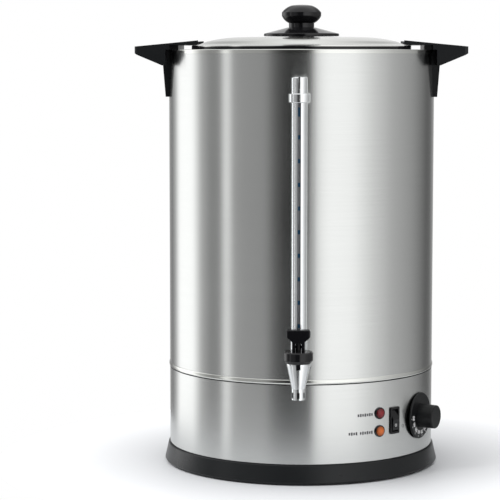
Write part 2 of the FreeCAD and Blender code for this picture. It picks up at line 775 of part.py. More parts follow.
def make_switch():
    wall = {"azimuth": "switch_azimuth", "level": "switch_height"}
    bezel = doc.addObject("PartDesign::Body", "switch_bezel")
    pad = bezel.newObject("PartDesign::Pad", "switch_bezel_pad")
    pad.Profile = outline(bezel, "switch_bezel_outline", "XY_Plane", [
        (f"{x} * bezel_width / 2", f"{y} * bezel_length / 2") for x, y in ((-1, -1), (1, -1), (1, 1), (-1, 1))
    ])
    bind(pad, Length="bezel_thickness")
    bezel.Tip = pad
    round_edges(bezel, "switch_bezel_round", "bezel_corner",
                lambda edge, middle: abs(edge.Vertexes[0].Z - edge.Vertexes[1].Z) > 0.1)
    put(bezel, z="shell_radius", **wall)
    case = box("switch_case", "switch_width", "switch_length", "switch_depth", z="shell_radius - switch_depth", **wall)
    bay = box("switch_bay", "rocker_width + 2 * rocker_gap", "rocker_length + 2 * rocker_end_gap",
              "rocker_bay + bezel_thickness + 1", z="shell_radius - rocker_bay", **wall)
    pivot = "shell_radius - rocker_pivot_depth"
    axle_place = f"create(<<vector>>; -rocker_axle_length / 2 - fit_clearance; 0; {pivot})"
    wall_place = ("create(<<placement>>; create(<<vector>>; 0; 0; switch_height);"
                  " create(<<rotation>>; switch_azimuth; 0; 90))")
    axle_hole = doc.addObject("Part::Cylinder", "axle_hole")
    bind(axle_hole, Radius="rocker_axle + running_clearance", Height="rocker_axle_length + 2 * fit_clearance")
    axle_hole.setExpression("Placement", bound(
        f"{wall_place} * create(<<placement>>; {axle_place}; create(<<rotation>>; 0; 90; 0))"))
    node("switch_body", cut("switch_body_cut", joined("switch_solid", bezel, case), bay, axle_hole))
    # The rocker is drawn level, about its own axle, and then tipped so that its upper end is in
    half = "rocker_length / 2"
    rocker = extruded("rocker_blank", "YZ_Plane", [
        (f"-{half}", "rocker_pivot_depth + rocker_edge"),
        (f"-{half} + 1", "-rocker_root + 2"),
        ("-rocker_root", "-rocker_root"),
        ("rocker_root", "-rocker_root"),
        (f"{half} - 1", "-rocker_root + 2"),
        (half, "rocker_pivot_depth + rocker_edge"),
        ("0", "rocker_pivot_depth + rocker_ridge"),
    ], "rocker_width")
    axle = doc.addObject("Part::Cylinder", "rocker_axle_rod")
    bind(axle, Radius="rocker_axle", Height="rocker_axle_length")
    axle.setExpression("Placement", bound(
        "create(<<placement>>; create(<<vector>>; -rocker_axle_length / 2; 0; 0); create(<<rotation>>; 0; 90; 0))"))
    rocker_solid = joined("rocker_solid", rocker, axle)
    rocker_solid.setExpression("Placement", bound(
        f"{wall_place} * create(<<placement>>; create(<<vector>>; 0; 0; {pivot});"
        " create(<<rotation>>; 0; 0; 0 - rocker_tilt))"))
    node("switch_rocker", rocker_solid)


def make_thermostat():
    wall = {"azimuth": "thermostat_azimuth", "level": "thermostat_height"}
    face = "shell_inside - thermostat_setback"
    case = box("thermostat_case", "thermostat_size", "thermostat_size", "thermostat_depth",
               z=f"{face} - thermostat_depth", **wall)
    bushing = cylinder("thermostat_bushing", "bushing_radius", "bushing_rise + thermostat_setback + shell_wall",
                       z=face, **wall)
    bushing_end = f"({face} + bushing_rise + thermostat_setback + shell_wall)"
    shaft_bottom = f"{face} - shaft_depth"
    bore = cylinder("thermostat_bore", "shaft_radius + running_clearance", "shaft_depth + 30",
                    z=f"{shaft_bottom} - fit_clearance", **wall)
    node("thermostat_body", cut("thermostat_cut", joined("thermostat_solid", case, bushing), bore))
    nut = hexagon("thermostat_nut_blank", "thermostat_nut_radius", "thermostat_nut_height",
                  z="shell_radius + fit_clearance", **wall)
    nut_hole = cylinder("thermostat_nut_hole", "bushing_radius", "20", z="shell_radius - 5", **wall)
    node("thermostat_nut", cut("thermostat_nut_cut", nut, nut_hole))
    shaft_top = "shell_radius + skirt_gap + skirt_thickness + shaft_engagement"
    node("thermostat_shaft", cylinder("shaft", "shaft_radius", f"{shaft_top} - ({shaft_bottom})",
                                      z=shaft_bottom, **wall))
    back = "shell_radius + skirt_gap"
    front = f"{back} + skirt_thickness"
    recess = f"{bushing_end} + 1"
    knob = turned("thermostat_knob_turn", [
        ("thermostat_nut_radius + 1.5", back),
        ("skirt_radius", back),
        ("skirt_radius", f"{front} - 0.8"),
        ("skirt_radius - 0.8", front),
        ("grip_radius", front),
        ("grip_radius - 0.4", f"{front} + grip_height - grip_round"),
        ("grip_radius - 0.4 - grip_round", f"{front} + grip_height", "grip_round"),
        ("0", f"{front} + grip_height"),
        ("0", shaft_top),
        ("shaft_radius", shaft_top),
        ("shaft_radius", recess),
        ("thermostat_nut_radius + 1.5", recess),
    ])
    node("thermostat_knob", put(knob, **wall))


# Mains inlet, terminal block and earth stud
def make_inlet():
    wall = {"azimuth": "180", "level": "inlet_height"}
    flange = doc.addObject("PartDesign::Body", "inlet_flange")
    pad = flange.newObject("PartDesign::Pad", "inlet_flange_pad")
    pad.Profile = outline(flange, "inlet_flange_outline", "XY_Plane", [
        (f"{x} * inlet_flange_width / 2", f"{y} * inlet_flange_height / 2")
        for x, y in ((-1, -1), (1, -1), (1, 1), (-1, 1))
    ])
    bind(pad, Length="inlet_flange_thickness")
    flange.Tip = pad
    round_edges(flange, "inlet_flange_round", "inlet_flange_width / 6",
                lambda edge, middle: abs(edge.Vertexes[0].Z - edge.Vertexes[1].Z) > 0.1)
    put(flange, z="shell_radius", **wall)
    case = box("inlet_case", "inlet_body_width", "inlet_body_height", "inlet_body_depth",
               z="shell_radius - inlet_body_depth", **wall)
    socket_bottom = "shell_radius + inlet_flange_thickness - inlet_socket_depth"
    socket = box("inlet_socket", "inlet_socket_width", "inlet_socket_height", "inlet_socket_depth + 1",
                 z=socket_bottom, **wall)
    holes = []
    screws = []
    for side in ("+", "-"):
        name = "upper" if side == "+" else "lower"
        level = f"inlet_height {side} inlet_screw_spacing / 2"
        holes.append(cylinder(f"inlet_flange_hole_{name}", "inlet_screw_radius + fit_clearance", "20",
                              z="shell_radius - 5", azimuth="180", level=level))
        top = "shell_radius + inlet_flange_thickness"
        screw = turned(f"inlet_screw_{name}", [
            ("0", f"{top} - inlet_screw_length"),
            ("inlet_screw_radius", f"{top} - inlet_screw_length"),
            ("inlet_screw_radius", top),
            ("inlet_screw_head", top),
            ("inlet_screw_head", f"{top} + inlet_screw_head_height - 0.7"),
            ("inlet_screw_head - 0.7", f"{top} + inlet_screw_head_height"),
            ("0", f"{top} + inlet_screw_head_height"),
        ])
        screws.append(put(screw, azimuth="180", level=level))
    pin_holes = []
    pins = []
    for name, across, up in (("line", "inlet_pin_offset", "inlet_pin_spacing"),
                             ("neutral", "inlet_pin_offset", "-inlet_pin_spacing"),
                             ("earth", "-inlet_pin_offset", "0")):
        size = ("inlet_pin_width", "inlet_pin_thickness")
        pin_holes.append(box(f"inlet_{name}_hole", *size, "inlet_pin_length + 8", x=across, y=up,
                             z=f"{socket_bottom} - 8", **wall))
        pins.append(box(f"inlet_{name}_pin", *size, "inlet_pin_length + 8", x=across, y=up,
                        z=f"{socket_bottom} - 8", **wall))
    node("mains_inlet", cut("inlet_cut", joined("inlet_solid", flange, case), socket, *holes, *pin_holes))
    node("inlet_pins", group("inlet_pin_group", *pins))
    node("inlet_screws", group("inlet_screw_group", *screws))


def make_wiring_points():
    block = box("terminal_blank", "terminal_length", "terminal_width", "terminal_height", y="terminal_distance",
                z="ledge_height")
    holes = [
        cylinder(f"terminal_hole_{index}", "terminal_hole_radius", "terminal_height", y="terminal_distance",
                 x=f"terminal_length * {index - 1} / 3", z="ledge_height + 6")
        for index in range(3)
    ]
    node("terminal_block", cut("terminal_cut", block, *holes))
    stud = cylinder("earth_stud_rod", "earth_stud_radius", "earth_stud_height", y="earth_distance", z="plate_bottom")
    nut = hexagon("earth_nut", "earth_nut_radius", "earth_nut_height", y="earth_distance", z="ledge_height")
    node("earth_stud", joined("earth_stud_solid", stud, nut))


# Handles, one shape used on both sides
def handle_solid(name, side_turn):
    top_at_tip = "rim_height + handle_tip_rise"
    inner_start = "tab_radius * 0.8"
    top_at_start = f"{top_at_tip} + handle_slope * (handle_tip - {inner_start})"
    leg_inside = "shell_radius - 20"
    profile = extruded(f"{name}_profile", "XZ_Plane", [
        (inner_start, "rim_height + handle_seat_gap"),
        (leg_inside, "rim_height + handle_seat_gap"),
        (leg_inside, "rim_height - leg_length"),
        ("shell_radius + leg_foot_thickness", "rim_height - leg_length"),
        ("shell_radius + leg_thickness", "rim_height - gusset_drop"),
        ("handle_tip - end_chamfer", f"{top_at_tip} - handle_end_height - end_chamfer * 0.6"),
        ("handle_tip", f"{top_at_tip} - handle_end_height"),
        ("handle_tip", top_at_tip),
        (inner_start, top_at_start),
    ], "handle_width")
    round_edges(profile, f"{name}_round", "4",
                lambda edge, middle: abs(middle.x - number("handle_tip")) < 0.01
                and abs(edge.Vertexes[0].Z - edge.Vertexes[1].Z) > 1)
    grip = extruded(f"{name}_grip", "XZ_Plane", [
        ("shell_radius + leg_thickness", "rim_height - leg_length"),
        ("handle_tip - end_chamfer", "rim_height - leg_length"),
        ("handle_tip - end_chamfer", f"{top_at_tip} - top_wall"),
        ("shell_radius + leg_thickness", f"{top_at_tip} + handle_slope * (handle_reach - leg_thickness) - top_wall"),
    ], "handle_width - 2 * gusset_wall")
    below_rim = "rim_height - hem_depth - 0.3"
    shell_space = cylinder(f"{name}_shell_space", "shell_radius + handle_seat_gap", below_rim)
    hem_space = cylinder(f"{name}_hem_space", "hem_radius + handle_seat_gap",
                         f"rim_height + handle_seat_gap - ({below_rim})", z=below_rim)
    tab_space = cylinder(f"{name}_tab_space", "tab_radius", "40", z="rim_height")
    under_tab = box(f"{name}_under_tab", "2 * block_inside", "400", "tab_underside - rim_height",
                    z="rim_height")
    spaces = [grip, shell_space, hem_space, tab_space, under_tab]
    for side in ("+", "-"):
        word = "front" if side == "-" else "back"
        beside = f"(0 {side} (block_half_width + 50))"
        spaces.append(box(f"{name}_block_{word}", "2 * (shell_radius - web_thickness)", "100",
                          "tab_underside - rim_height", y=beside, z="rim_height"))
        narrow = f"(0 {side} (leg_top_half_width + 50))"
        spaces.append(box(f"{name}_leg_{word}", "2 * (shell_radius + leg_thickness - web_thickness)", "100",
                          "gusset_drop", y=narrow, z="rim_height - gusset_drop"))
        taper = doc.addObject("PartDesign::Body", f"{name}_taper_{word}")
        pad = taper.newObject("PartDesign::Pad", f"{name}_taper_{word}_pad")
        pad.Profile = outline(taper, f"{name}_taper_{word}_outline", "YZ_Plane", [
            (f"0 {side} leg_foot_half_width", "rim_height - leg_length - 1"),
            (f"0 {side} 90", "rim_height - leg_length - 1"),
            (f"0 {side} 90", "rim_height - gusset_drop"),
            (f"0 {side} leg_top_half_width", "rim_height - gusset_drop"),
        ])
        bind(pad, Length="shell_radius + leg_thickness + 1")
        taper.Tip = pad
        spaces.append(taper)
    for place in ("lower", "upper"):
        level = f"rim_height - {place}_screw_drop"
        spaces.append(cylinder(f"{name}_{place}_hole", "handle_screw_radius + fit_clearance", "40",
                               z="shell_radius - 10", azimuth="90", level=level))
        spaces.append(cylinder(f"{name}_{place}_seat", "handle_screw_head + 0.3", "20",
                               z="shell_radius + handle_screw_seat", azimuth="90", level=level))
    solid = cut(f"{name}_cut", profile, *spaces)
    solid.setExpression("Placement", bound(
        f"create(<<placement>>; create(<<vector>>; 0; 0; 0); create(<<rotation>>; {side_turn}; 0; 0))"))
    return solid


def make_handles():
    node("handle_right", handle_solid("right_handle", "0"))
    node("handle_left", handle_solid("left_handle", "180"))
    screws = []
    nuts = []
    plates = []
    plate_outside = "shell_inside - 0.6"
    plate_inside = f"{plate_outside} - backing_thickness"
    for side, azimuth in (("right", "90"), ("left", "-90")):
        plate = box(f"{side}_backing", "backing_width",
                    "lower_screw_drop - upper_screw_drop + 2 * backing_margin", "backing_thickness", z=plate_inside,
                    azimuth=azimuth, level="rim_height - (lower_screw_drop + upper_screw_drop) / 2")
        plate_holes = []
        for place in ("lower", "upper"):
            level = f"rim_height - {place}_screw_drop"
            seat = "shell_radius + handle_screw_seat"
            screw = turned(f"{side}_{place}_screw", [
                ("0", f"{plate_inside} - handle_nut_height - 0.5"),
                ("handle_screw_radius", f"{plate_inside} - handle_nut_height - 0.5"),
                ("handle_screw_radius", seat),
                ("handle_screw_head", seat),
                ("handle_screw_head", f"{seat} + handle_screw_head_height - 0.8"),
                ("handle_screw_head - 0.8", f"{seat} + handle_screw_head_height"),
                ("0", f"{seat} + handle_screw_head_height"),
            ])
            screws.append(put(screw, azimuth=azimuth, level=level))
            nut = hexagon(f"{side}_{place}_nut", "handle_nut_radius", "handle_nut_height",
                          z=f"{plate_inside} - handle_nut_height", azimuth=azimuth, level=level)
            nut_hole = cylinder(f"{side}_{place}_nut_hole", "handle_screw_radius", "20", z="shell_radius - 15",
                                azimuth=azimuth, level=level)
            nuts.append(cut(f"{side}_{place}_nut_cut", nut, nut_hole))
            plate_holes.append(cylinder(f"{side}_{place}_plate_hole", "handle_screw_radius + fit_clearance", "20",
                                        z="shell_radius - 15", azimuth=azimuth, level=level))
        plates.append(cut(f"{side}_backing_cut", plate, *plate_holes))
    node("handle_screws", group("handle_screw_group", *screws))
    node("handle_nuts", group("handle_nut_group", *nuts))
    node("backing_plates", group("backing_group", *plates))


# Lid: pan, ring and knob. The notches let the lid pass the handle tabs when it is lifted
def tab_notches(name):
    notches = []
    for side, turn in (("right", "0"), ("left", "180")):
        block = box(f"{name}_{side}_block", "80", "handle_width + 2 * notch_gap", "60", x="tab_radius + 30",
                    z="rim_height - 20", turn=turn)
        keep = cylinder(f"{name}_{side}_keep", "tab_radius - notch_gap", "80", z="rim_height - 30")
        notches.append(cut(f"{name}_{side}_notch", block, keep))
    return notches


def make_lid():
    rim = "rim_height"
    pan = turned("lid_pan_blank", [
        ("stem_hole", f"{rim} + crown_rise - lid_wall"),
        ("flat_radius", f"{rim} + flat_rise - lid_wall"),
        ("shoulder_radius - 0.3", f"{rim} + shoulder_rise - lid_wall", "-(crown_bow)"),
        ("shoulder_foot_radius - 0.3", f"{rim} + shoulder_foot_rise - lid_wall"),
        ("lid_skirt_radius - lid_wall", f"{rim} + brim_rise + brim_crown - lid_wall"),
        ("lid_skirt_radius - lid_wall", f"{rim} - lid_skirt_depth"),
        ("lid_skirt_radius", f"{rim} - lid_skirt_depth"),
        ("lid_skirt_radius", f"{rim} + lid_ring_height"),
        ("brim_radius", f"{rim} + lid_ring_height"),
        ("brim_radius", f"{rim} + brim_rise"),
        ("tab_radius", f"{rim} + brim_rise + brim_crown"),
        ("shoulder_foot_radius", f"{rim} + shoulder_foot_rise", "-36"),
        ("shoulder_radius", f"{rim} + shoulder_rise"),
        ("flat_radius", f"{rim} + flat_rise", "crown_bow"),
        ("stem_hole", f"{rim} + crown_rise"),
    ])
    node("lid_pan", cut("lid_pan_cut", pan, *tab_notches("pan")))
    ring = turned("lid_ring_blank", [
        ("lid_skirt_radius + lid_ring_gap", rim),
        ("brim_radius - 0.6", rim),
        ("brim_radius", f"{rim} + 0.6"),
        ("brim_radius", f"{rim} + lid_ring_height"),
        ("lid_skirt_radius + lid_ring_gap", f"{rim} + lid_ring_height"),
    ])
    node("lid_ring", cut("lid_ring_cut", ring, *tab_notches("ring")))
    top = f"({rim} + crown_rise)"
    washer_bottom = f"{top} - lid_wall - knob_washer_thickness"
    node("knob_washer", turned("washer", [
        ("stem_hole", washer_bottom),
        ("knob_washer_radius", washer_bottom),
        ("knob_washer_radius", f"{washer_bottom} + knob_washer_thickness - 0.05"),
        ("stem_hole", f"{washer_bottom} + knob_washer_thickness - 0.05"),
    ]))
    head_bottom = f"{washer_bottom} - knob_screw_head_height"
    screw_top = f"{washer_bottom} + knob_screw_length"
    node("knob_screw", turned("screw", [
        ("0", head_bottom),
        ("knob_screw_head - 1", head_bottom),
        ("knob_screw_head", f"{head_bottom} + 1"),
        ("knob_screw_head", washer_bottom),
        ("knob_screw_radius", washer_bottom),
        ("knob_screw_radius", screw_top),
        ("0", screw_top),
    ]))
    edge_bottom = f"{top} + flange_gap"
    flange_top = f"{top} + flange_height"
    node("knob_flange", turned("flange", [
        ("stem_hole", top),
        ("flange_boss_radius", top),
        ("flange_boss_radius", f"{top} + flange_height - flange_wall - 1.4"),
        ("flange_radius - 1.2", f"{edge_bottom} + 0.6"),
        ("flange_radius - 1.2", edge_bottom),
        ("flange_radius", edge_bottom),
        ("flange_radius", f"{edge_bottom} + flange_edge - 0.6"),
        ("flange_radius - 0.6", f"{edge_bottom} + flange_edge"),
        ("flange_top_radius", flange_top),
        ("stem_hole", flange_top),
    ]))
    band_bottom = f"{flange_top} + knob_band_height - knob_band / 2"
    band_top = f"{flange_top} + knob_band_height + knob_band / 2"
    node("lid_knob", turned("knob", [
        ("0", screw_top),
        ("knob_screw_radius", screw_top),
        ("knob_screw_radius", flange_top),
        ("neck_radius", flange_top),
        ("neck_radius", f"{flange_top} + neck_height"),
        ("knob_radius", band_bottom, "knob_height * 0.6"),
        ("knob_radius", band_top),
        ("knob_top_radius", f"{flange_top} + knob_height - knob_top_dome", "knob_height * 0.8"),
        ("0", f"{flange_top} + knob_height", dome("knob_top_radius", "knob_top_dome")),
    ]))


# Sight gauge and its shank through both walls
def make_gauge():
    level = {"azimuth": "0", "level": "shank_height"}
    shank_start = "tank_radius - shank_inner_end"
    shank_end = "tap_distance - socket_length + socket_thread_depth"
    tube = cylinder("shank_tube", "shank_radius", f"gauge_distance - ({shank_start})", z=shank_start, **level)
    thread = cylinder("shank_thread", "tap_thread_radius", f"{shank_end} - gauge_distance", z="gauge_distance", **level)
    collar_start = "shell_radius + washer_thickness"
    collar = cylinder("shank_collar", "shank_collar_radius", "shank_collar_thickness", z=collar_start, **level)
    boss = cylinder("shank_boss", "boss_radius", "boss_top_rise + boss_bottom_drop", y="-gauge_distance",
                    z="shank_height - boss_bottom_drop")
    bore = cylinder("shank_bore_hole", "shank_bore", "120", z=f"{shank_start} - 1", **level)
    glass_seat = cylinder("glass_seat", "glass_radius + glass_gap", "boss_top_rise - gauge_seat_rise + 1",
                          y="-gauge_distance", z="shank_height + gauge_seat_rise")
    riser = cylinder("gauge_riser", "glass_radius - glass_wall", "gauge_seat_rise + 1", y="-gauge_distance",
                     z="shank_height")
    node("gauge_shank", cut("shank_cut", joined("shank_solid", tube, thread, collar, boss), bore, glass_seat, riser))
    hole = "shank_radius + shank_hole_gap"
    inner_washer_start = "tank_radius - inner_washer_sink - washer_thickness"
    washers = []
    for name, start, radius in (("outer", "shell_radius", "shank_collar_radius"),
                                ("inner", inner_washer_start, "inner_washer_radius")):
        disc = cylinder(f"{name}_washer_disc", radius, "washer_thickness", z=start, **level)
        centre = cylinder(f"{name}_washer_hole", "shank_radius", "20", z=f"{start} - 10", **level)
        washers.append(cut(f"{name}_washer", disc, centre))
    node("shank_washers", group("washer_group", *washers))
    nut_start = f"{inner_washer_start} - shank_nut_thickness"
    nut = hexagon("shank_nut_blank", "shank_nut_radius", "shank_nut_thickness", z=nut_start, **level)
    nut_hole = cylinder("shank_nut_hole", "shank_radius", "30", z=f"{nut_start} - 10", **level)
    node("shank_nut", cut("shank_nut_cut", nut, nut_hole))
    spacer_start = "tank_outside + spacer_inner_gap"
    spacer = cylinder("spacer_tube", "spacer_radius", f"shell_inside - spacer_outer_gap - ({spacer_start})",
                      z=spacer_start, **level)
    spacer_hole = cylinder("spacer_hole", hole, "60", z="tank_radius - 10", **level)
    node("shank_spacer", cut("spacer_cut", spacer, spacer_hole))
    boss_top = "(shank_height + boss_top_rise)"
    nut_top = f"({boss_top} + gauge_nut_height)"
    glass_bottom = "(shank_height + gauge_seat_rise)"
    seal_top = f"({boss_top} + gauge_seal_thickness)"
    pieces = {}
    pieces["gauge_nut"] = turned("gauge_nut_turn", [
        ("gauge_seal_radius", boss_top),
        ("gauge_nut_radius", boss_top),
        ("gauge_nut_radius", f"{nut_top} - 1"),
        ("shield_radius", nut_top),
        ("glass_radius + glass_gap", nut_top),
        ("glass_radius + glass_gap", seal_top),
        ("gauge_seal_radius", seal_top),
    ])
    pieces["gauge_seal"] = turned("gauge_seal_turn", [
        ("glass_radius + glass_gap", boss_top),
        ("gauge_seal_radius", boss_top),
        ("gauge_seal_radius", seal_top),
        ("glass_radius + glass_gap", seal_top),
    ])
    pieces["gauge_glass"] = turned("gauge_glass_turn", [
        ("glass_radius - glass_wall", glass_bottom),
        ("glass_radius", glass_bottom),
        ("glass_radius", "glass_top"),
        ("glass_radius - glass_wall", "glass_top"),
    ])
    shield_tube = turned("shield_turn", [
        ("shield_radius - shield_wall", nut_top),
        ("shield_radius", nut_top),
        ("shield_radius", "shield_top"),
        ("shield_radius - shield_wall", "shield_top"),
    ])
    slot = box("shield_slot", "slot_width", "shield_radius", f"shield_top - {nut_top} + 2", y="-shield_radius",
               z=f"{nut_top} - 1")
    pieces["gauge_shield"] = cut("shield_cut", shield_tube, slot)
    pieces["gauge_scale"] = box("scale_strip", "scale_width", "scale_thickness", "scale_top - scale_bottom",
                                y="shield_radius - shield_wall - scale_thickness / 2 - 0.3", z="scale_bottom")
    pieces["gauge_ring"] = turned("gauge_ring_turn", [
        ("glass_radius + glass_gap", "shield_top"),
        ("gauge_ring_radius - 0.8", "shield_top"),
        ("gauge_ring_radius", "shield_top + 0.8"),
        ("gauge_ring_radius", "shield_top + gauge_ring_height - 0.8"),
        ("gauge_ring_radius - 0.8", "shield_top + gauge_ring_height"),
        ("glass_radius + glass_gap", "shield_top + gauge_ring_height"),
    ])
    cap_bottom = "(shield_top + gauge_ring_height)"
    cap_solid = turned("gauge_cap_turn", [
        ("0", f"{cap_bottom} + 2"),
        ("glass_radius + glass_gap", f"{cap_bottom} + 2"),
        ("glass_radius + glass_gap", cap_bottom),
        ("gauge_cap_radius", cap_bottom),
        ("gauge_cap_radius", f"{cap_bottom} + gauge_cap_height - 2"),
        ("gauge_cap_radius - 2", f"{cap_bottom} + gauge_cap_height", "2"),
        ("0", f"{cap_bottom} + gauge_cap_height"),
    ])
    cap_slot = box("cap_slot", "gauge_cap_slot", "2 * gauge_cap_slot_depth", "gauge_cap_height",
                   y="-gauge_cap_radius", z=f"{cap_bottom} + gauge_cap_slot_start")
    pieces["gauge_cap"] = cut("gauge_cap_cut", cap_solid, cap_slot)
    for name, piece in pieces.items():
        if piece.TypeId != "Part::Box":
            put(piece, y="-gauge_distance")
        else:
            put(piece, y="-gauge_distance + shield_radius - shield_wall - scale_thickness / 2 - 0.3",
                z="scale_bottom", centre=("scale_width", "scale_thickness"))
        node(name, piece)


# Tap: body, bonnet, stem, seat, spring, lever and pin
def make_tap():
    level = {"azimuth": "0", "level": "shank_height"}
    middle = "shank_height"
    spout_end = f"({middle} - spout_drop)"
    seat_level = f"({middle} - seat_drop)"
    body_top = f"({middle} + body_top_rise)"
    outside = turned("tap_outside", [
        ("0", spout_end),
        ("spout_radius", spout_end),
        ("spout_radius", f"{middle} - spout_straight_drop"),
        ("cone_radius", f"{middle} + cone_rise"),
        ("cone_radius", body_top),
        ("0", body_top),
    ])
    put(outside, y="-tap_distance")
    socket = cylinder("tap_socket", "socket_radius", "socket_length", z="tap_distance - socket_length", **level)
    passage = turned("tap_passage", [
        ("0", f"{spout_end} - 1"),
        ("spout_bore", f"{spout_end} - 1"),
        ("spout_bore", seat_level),
        ("chamber_radius", seat_level),
        ("chamber_radius", f"{body_top} + 1"),
        ("0", f"{body_top} + 1"),
    ])
    put(passage, y="-tap_distance")
    inlet = cylinder("tap_inlet", "shank_bore", "socket_length", z="tap_distance - socket_length", **level)
    thread = cylinder("tap_thread", "tap_thread_radius", "socket_thread_depth + 1",
                      z="tap_distance - socket_length - 1", **level)
    windows = []
    for index, azimuth in enumerate(spread(6)):
        window = doc.addObject("Part::Box", f"spout_window_{index}")
        bind(window, Length="window_width", Width="spout_radius * 2", Height="window_height")
        window.setExpression("Placement", bound(
            f"create(<<placement>>; create(<<vector>>; 0; -tap_distance; {spout_end} + window_margin);"
            f" create(<<rotation>>; {azimuth}; 0; 0))"
            " * create(<<placement>>; create(<<vector>>; -window_width / 2; 0; 0); create(<<rotation>>; 0; 0; 0))"))
        windows.append(window)
    tongue_y = "-tap_distance - cone_radius + tongue_inset / 2 - 1"
    notch = box("tongue_notch", "tongue_width + 2 * fit_clearance", "tongue_inset + 2", "tongue_length + 1",
                y=tongue_y, z=f"{body_top} - tongue_length")
    body = cut("tap_body_cut", joined("tap_solid", outside, socket), passage, inlet, thread, *windows, notch)
    node("tap_body", body)
    bonnet_top = f"({body_top} + bonnet_height)"
    ceiling = f"({bonnet_top} - bonnet_roof)"
    cap = turned("bonnet_turn", [
        ("bonnet_cavity", body_top),
        ("bonnet_radius - bonnet_taper", body_top),
        ("bonnet_radius", f"{body_top} + bonnet_taper_height"),
        ("bonnet_radius", f"{bonnet_top} - bonnet_edge"),
        ("bonnet_radius - bonnet_edge", bonnet_top),
        ("tap_stem_radius + running_clearance", bonnet_top),
        ("tap_stem_radius + running_clearance", ceiling),
        ("bonnet_cavity", ceiling),
    ])
    put(cap, y="-tap_distance")
    tongue = box("bonnet_tongue", "tongue_width", "tongue_thickness", "tongue_length",
                 y="-tap_distance - cone_radius + tongue_thickness / 2 + 0.2",
                 z=f"{body_top} - tongue_length + fit_clearance")
    node("tap_bonnet", joined("bonnet_solid", cap, tongue))
    seat_top = f"({seat_level} + seat_thickness)"
    node("tap_seat", put(turned("seat_turn", [
        ("0", f"{seat_level} + 0.02"),
        ("seat_radius - 1", f"{seat_level} + 0.02"),
        ("seat_radius", seat_top),
        ("0", seat_top),
    ]), y="-tap_distance"))
    collar_top = f"({seat_top} + stem_collar_height)"
    pin_level = f"({bonnet_top} + pin_rise)"
    stem_turn = turned("stem_turn", [
        ("0", seat_top),
        ("stem_collar_radius", seat_top),
        ("stem_collar_radius", collar_top),
        ("tap_stem_radius", collar_top),
        ("tap_stem_radius", f"{pin_level} + stem_head"),
        ("0", f"{pin_level} + stem_head"),
    ])
    put(stem_turn, y="-tap_distance")
    pin_hole = across_tap("stem_pin_hole", "pin_radius + running_clearance", "40", pin_level)
    node("tap_stem", cut("stem_cut", stem_turn, pin_hole))
    node("tap_spring", put(turned("spring_turn", [
        ("spring_inner", collar_top),
        ("spring_outer", collar_top),
        ("spring_outer", ceiling),
        ("spring_inner", ceiling),
    ]), y="-tap_distance"))
    node("lever_pin", across_tap("lever_pin_rod", "pin_radius", "lever_neck_width - 0.4", pin_level))
    neck_bottom = f"({bonnet_top} + lever_seat_gap)"
    head_bottom = f"({bonnet_top} + lever_neck_height)"
    head_top = f"({head_bottom} + lever_head_height)"
    half_neck = "lever_neck_width / 2"
    half_head = "lever_head_width / 2"
    lever = extruded("lever_profile", "XZ_Plane", [
        (f"-{half_neck}", neck_bottom),
        (half_neck, neck_bottom),
        (half_neck, f"{head_bottom} - 1"),
        (half_head, f"{head_bottom} + lever_head_taper"),
        (half_head, head_top),
        (f"-{half_head}", head_top),
        (f"-{half_head}", f"{head_bottom} + lever_head_taper"),
        (f"-{half_neck}", f"{head_bottom} - 1"),
    ], "lever_neck_depth")
    round_edges(lever, "lever_round_edges", "lever_round",
                lambda edge, middle: middle.z > number(f"{head_bottom} + lever_head_taper - 0.5"))
    put(lever, y="-tap_distance")
    fork = box("lever_fork", "2 * (tap_stem_radius + lever_fork_gap)", "lever_neck_depth * 2",
               "lever_fork_depth + 1", y="-tap_distance", z=f"{neck_bottom} - 1")
    lever_hole = across_tap("lever_pin_hole", "pin_radius", "40", pin_level)
    node("tap_lever", cut("lever_cut", lever, fork, lever_hole))


def across_tap(name, radius, length, level):
    """A rod or hole through the tap's axis, from side to side."""
    rod = doc.addObject("Part::Cylinder", name)
    bind(rod, Radius=radius, Height=length)
    rod.setExpression("Placement", bound(
        f"create(<<placement>>; create(<<vector>>; -({length}) / 2; -tap_distance; {level});"
        " create(<<rotation>>; 0; 90; 0))"))
    return rod


make_base()
make_walls()
make_heater()
make_lamps()
make_switch()
make_thermostat()
make_inlet()
make_wiring_points()
make_handles()
make_lid()
make_gauge()
make_tap()
doc.recompute()

for thing in doc.Objects:
    if "Invalid" in thing.State or "Error" in thing.State:
        raise RuntimeError(f"{thing.Name} failed: {thing.State}")
for label, thing in nodes.items():
    if thing.Shape.isNull() or not thing.Shape.isValid() or not thing.Shape.Solids:
        raise RuntimeError(f"{label} has no valid shape")

os.makedirs("parts", exist_ok=True)
for label, thing in nodes.items():
    thing.Shape.exportStep(f"parts/{label}.step")
print(f"{len(nodes)} sub-parts written")
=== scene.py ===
import json
import math

import bpy
from mathutils import Matrix, Vector


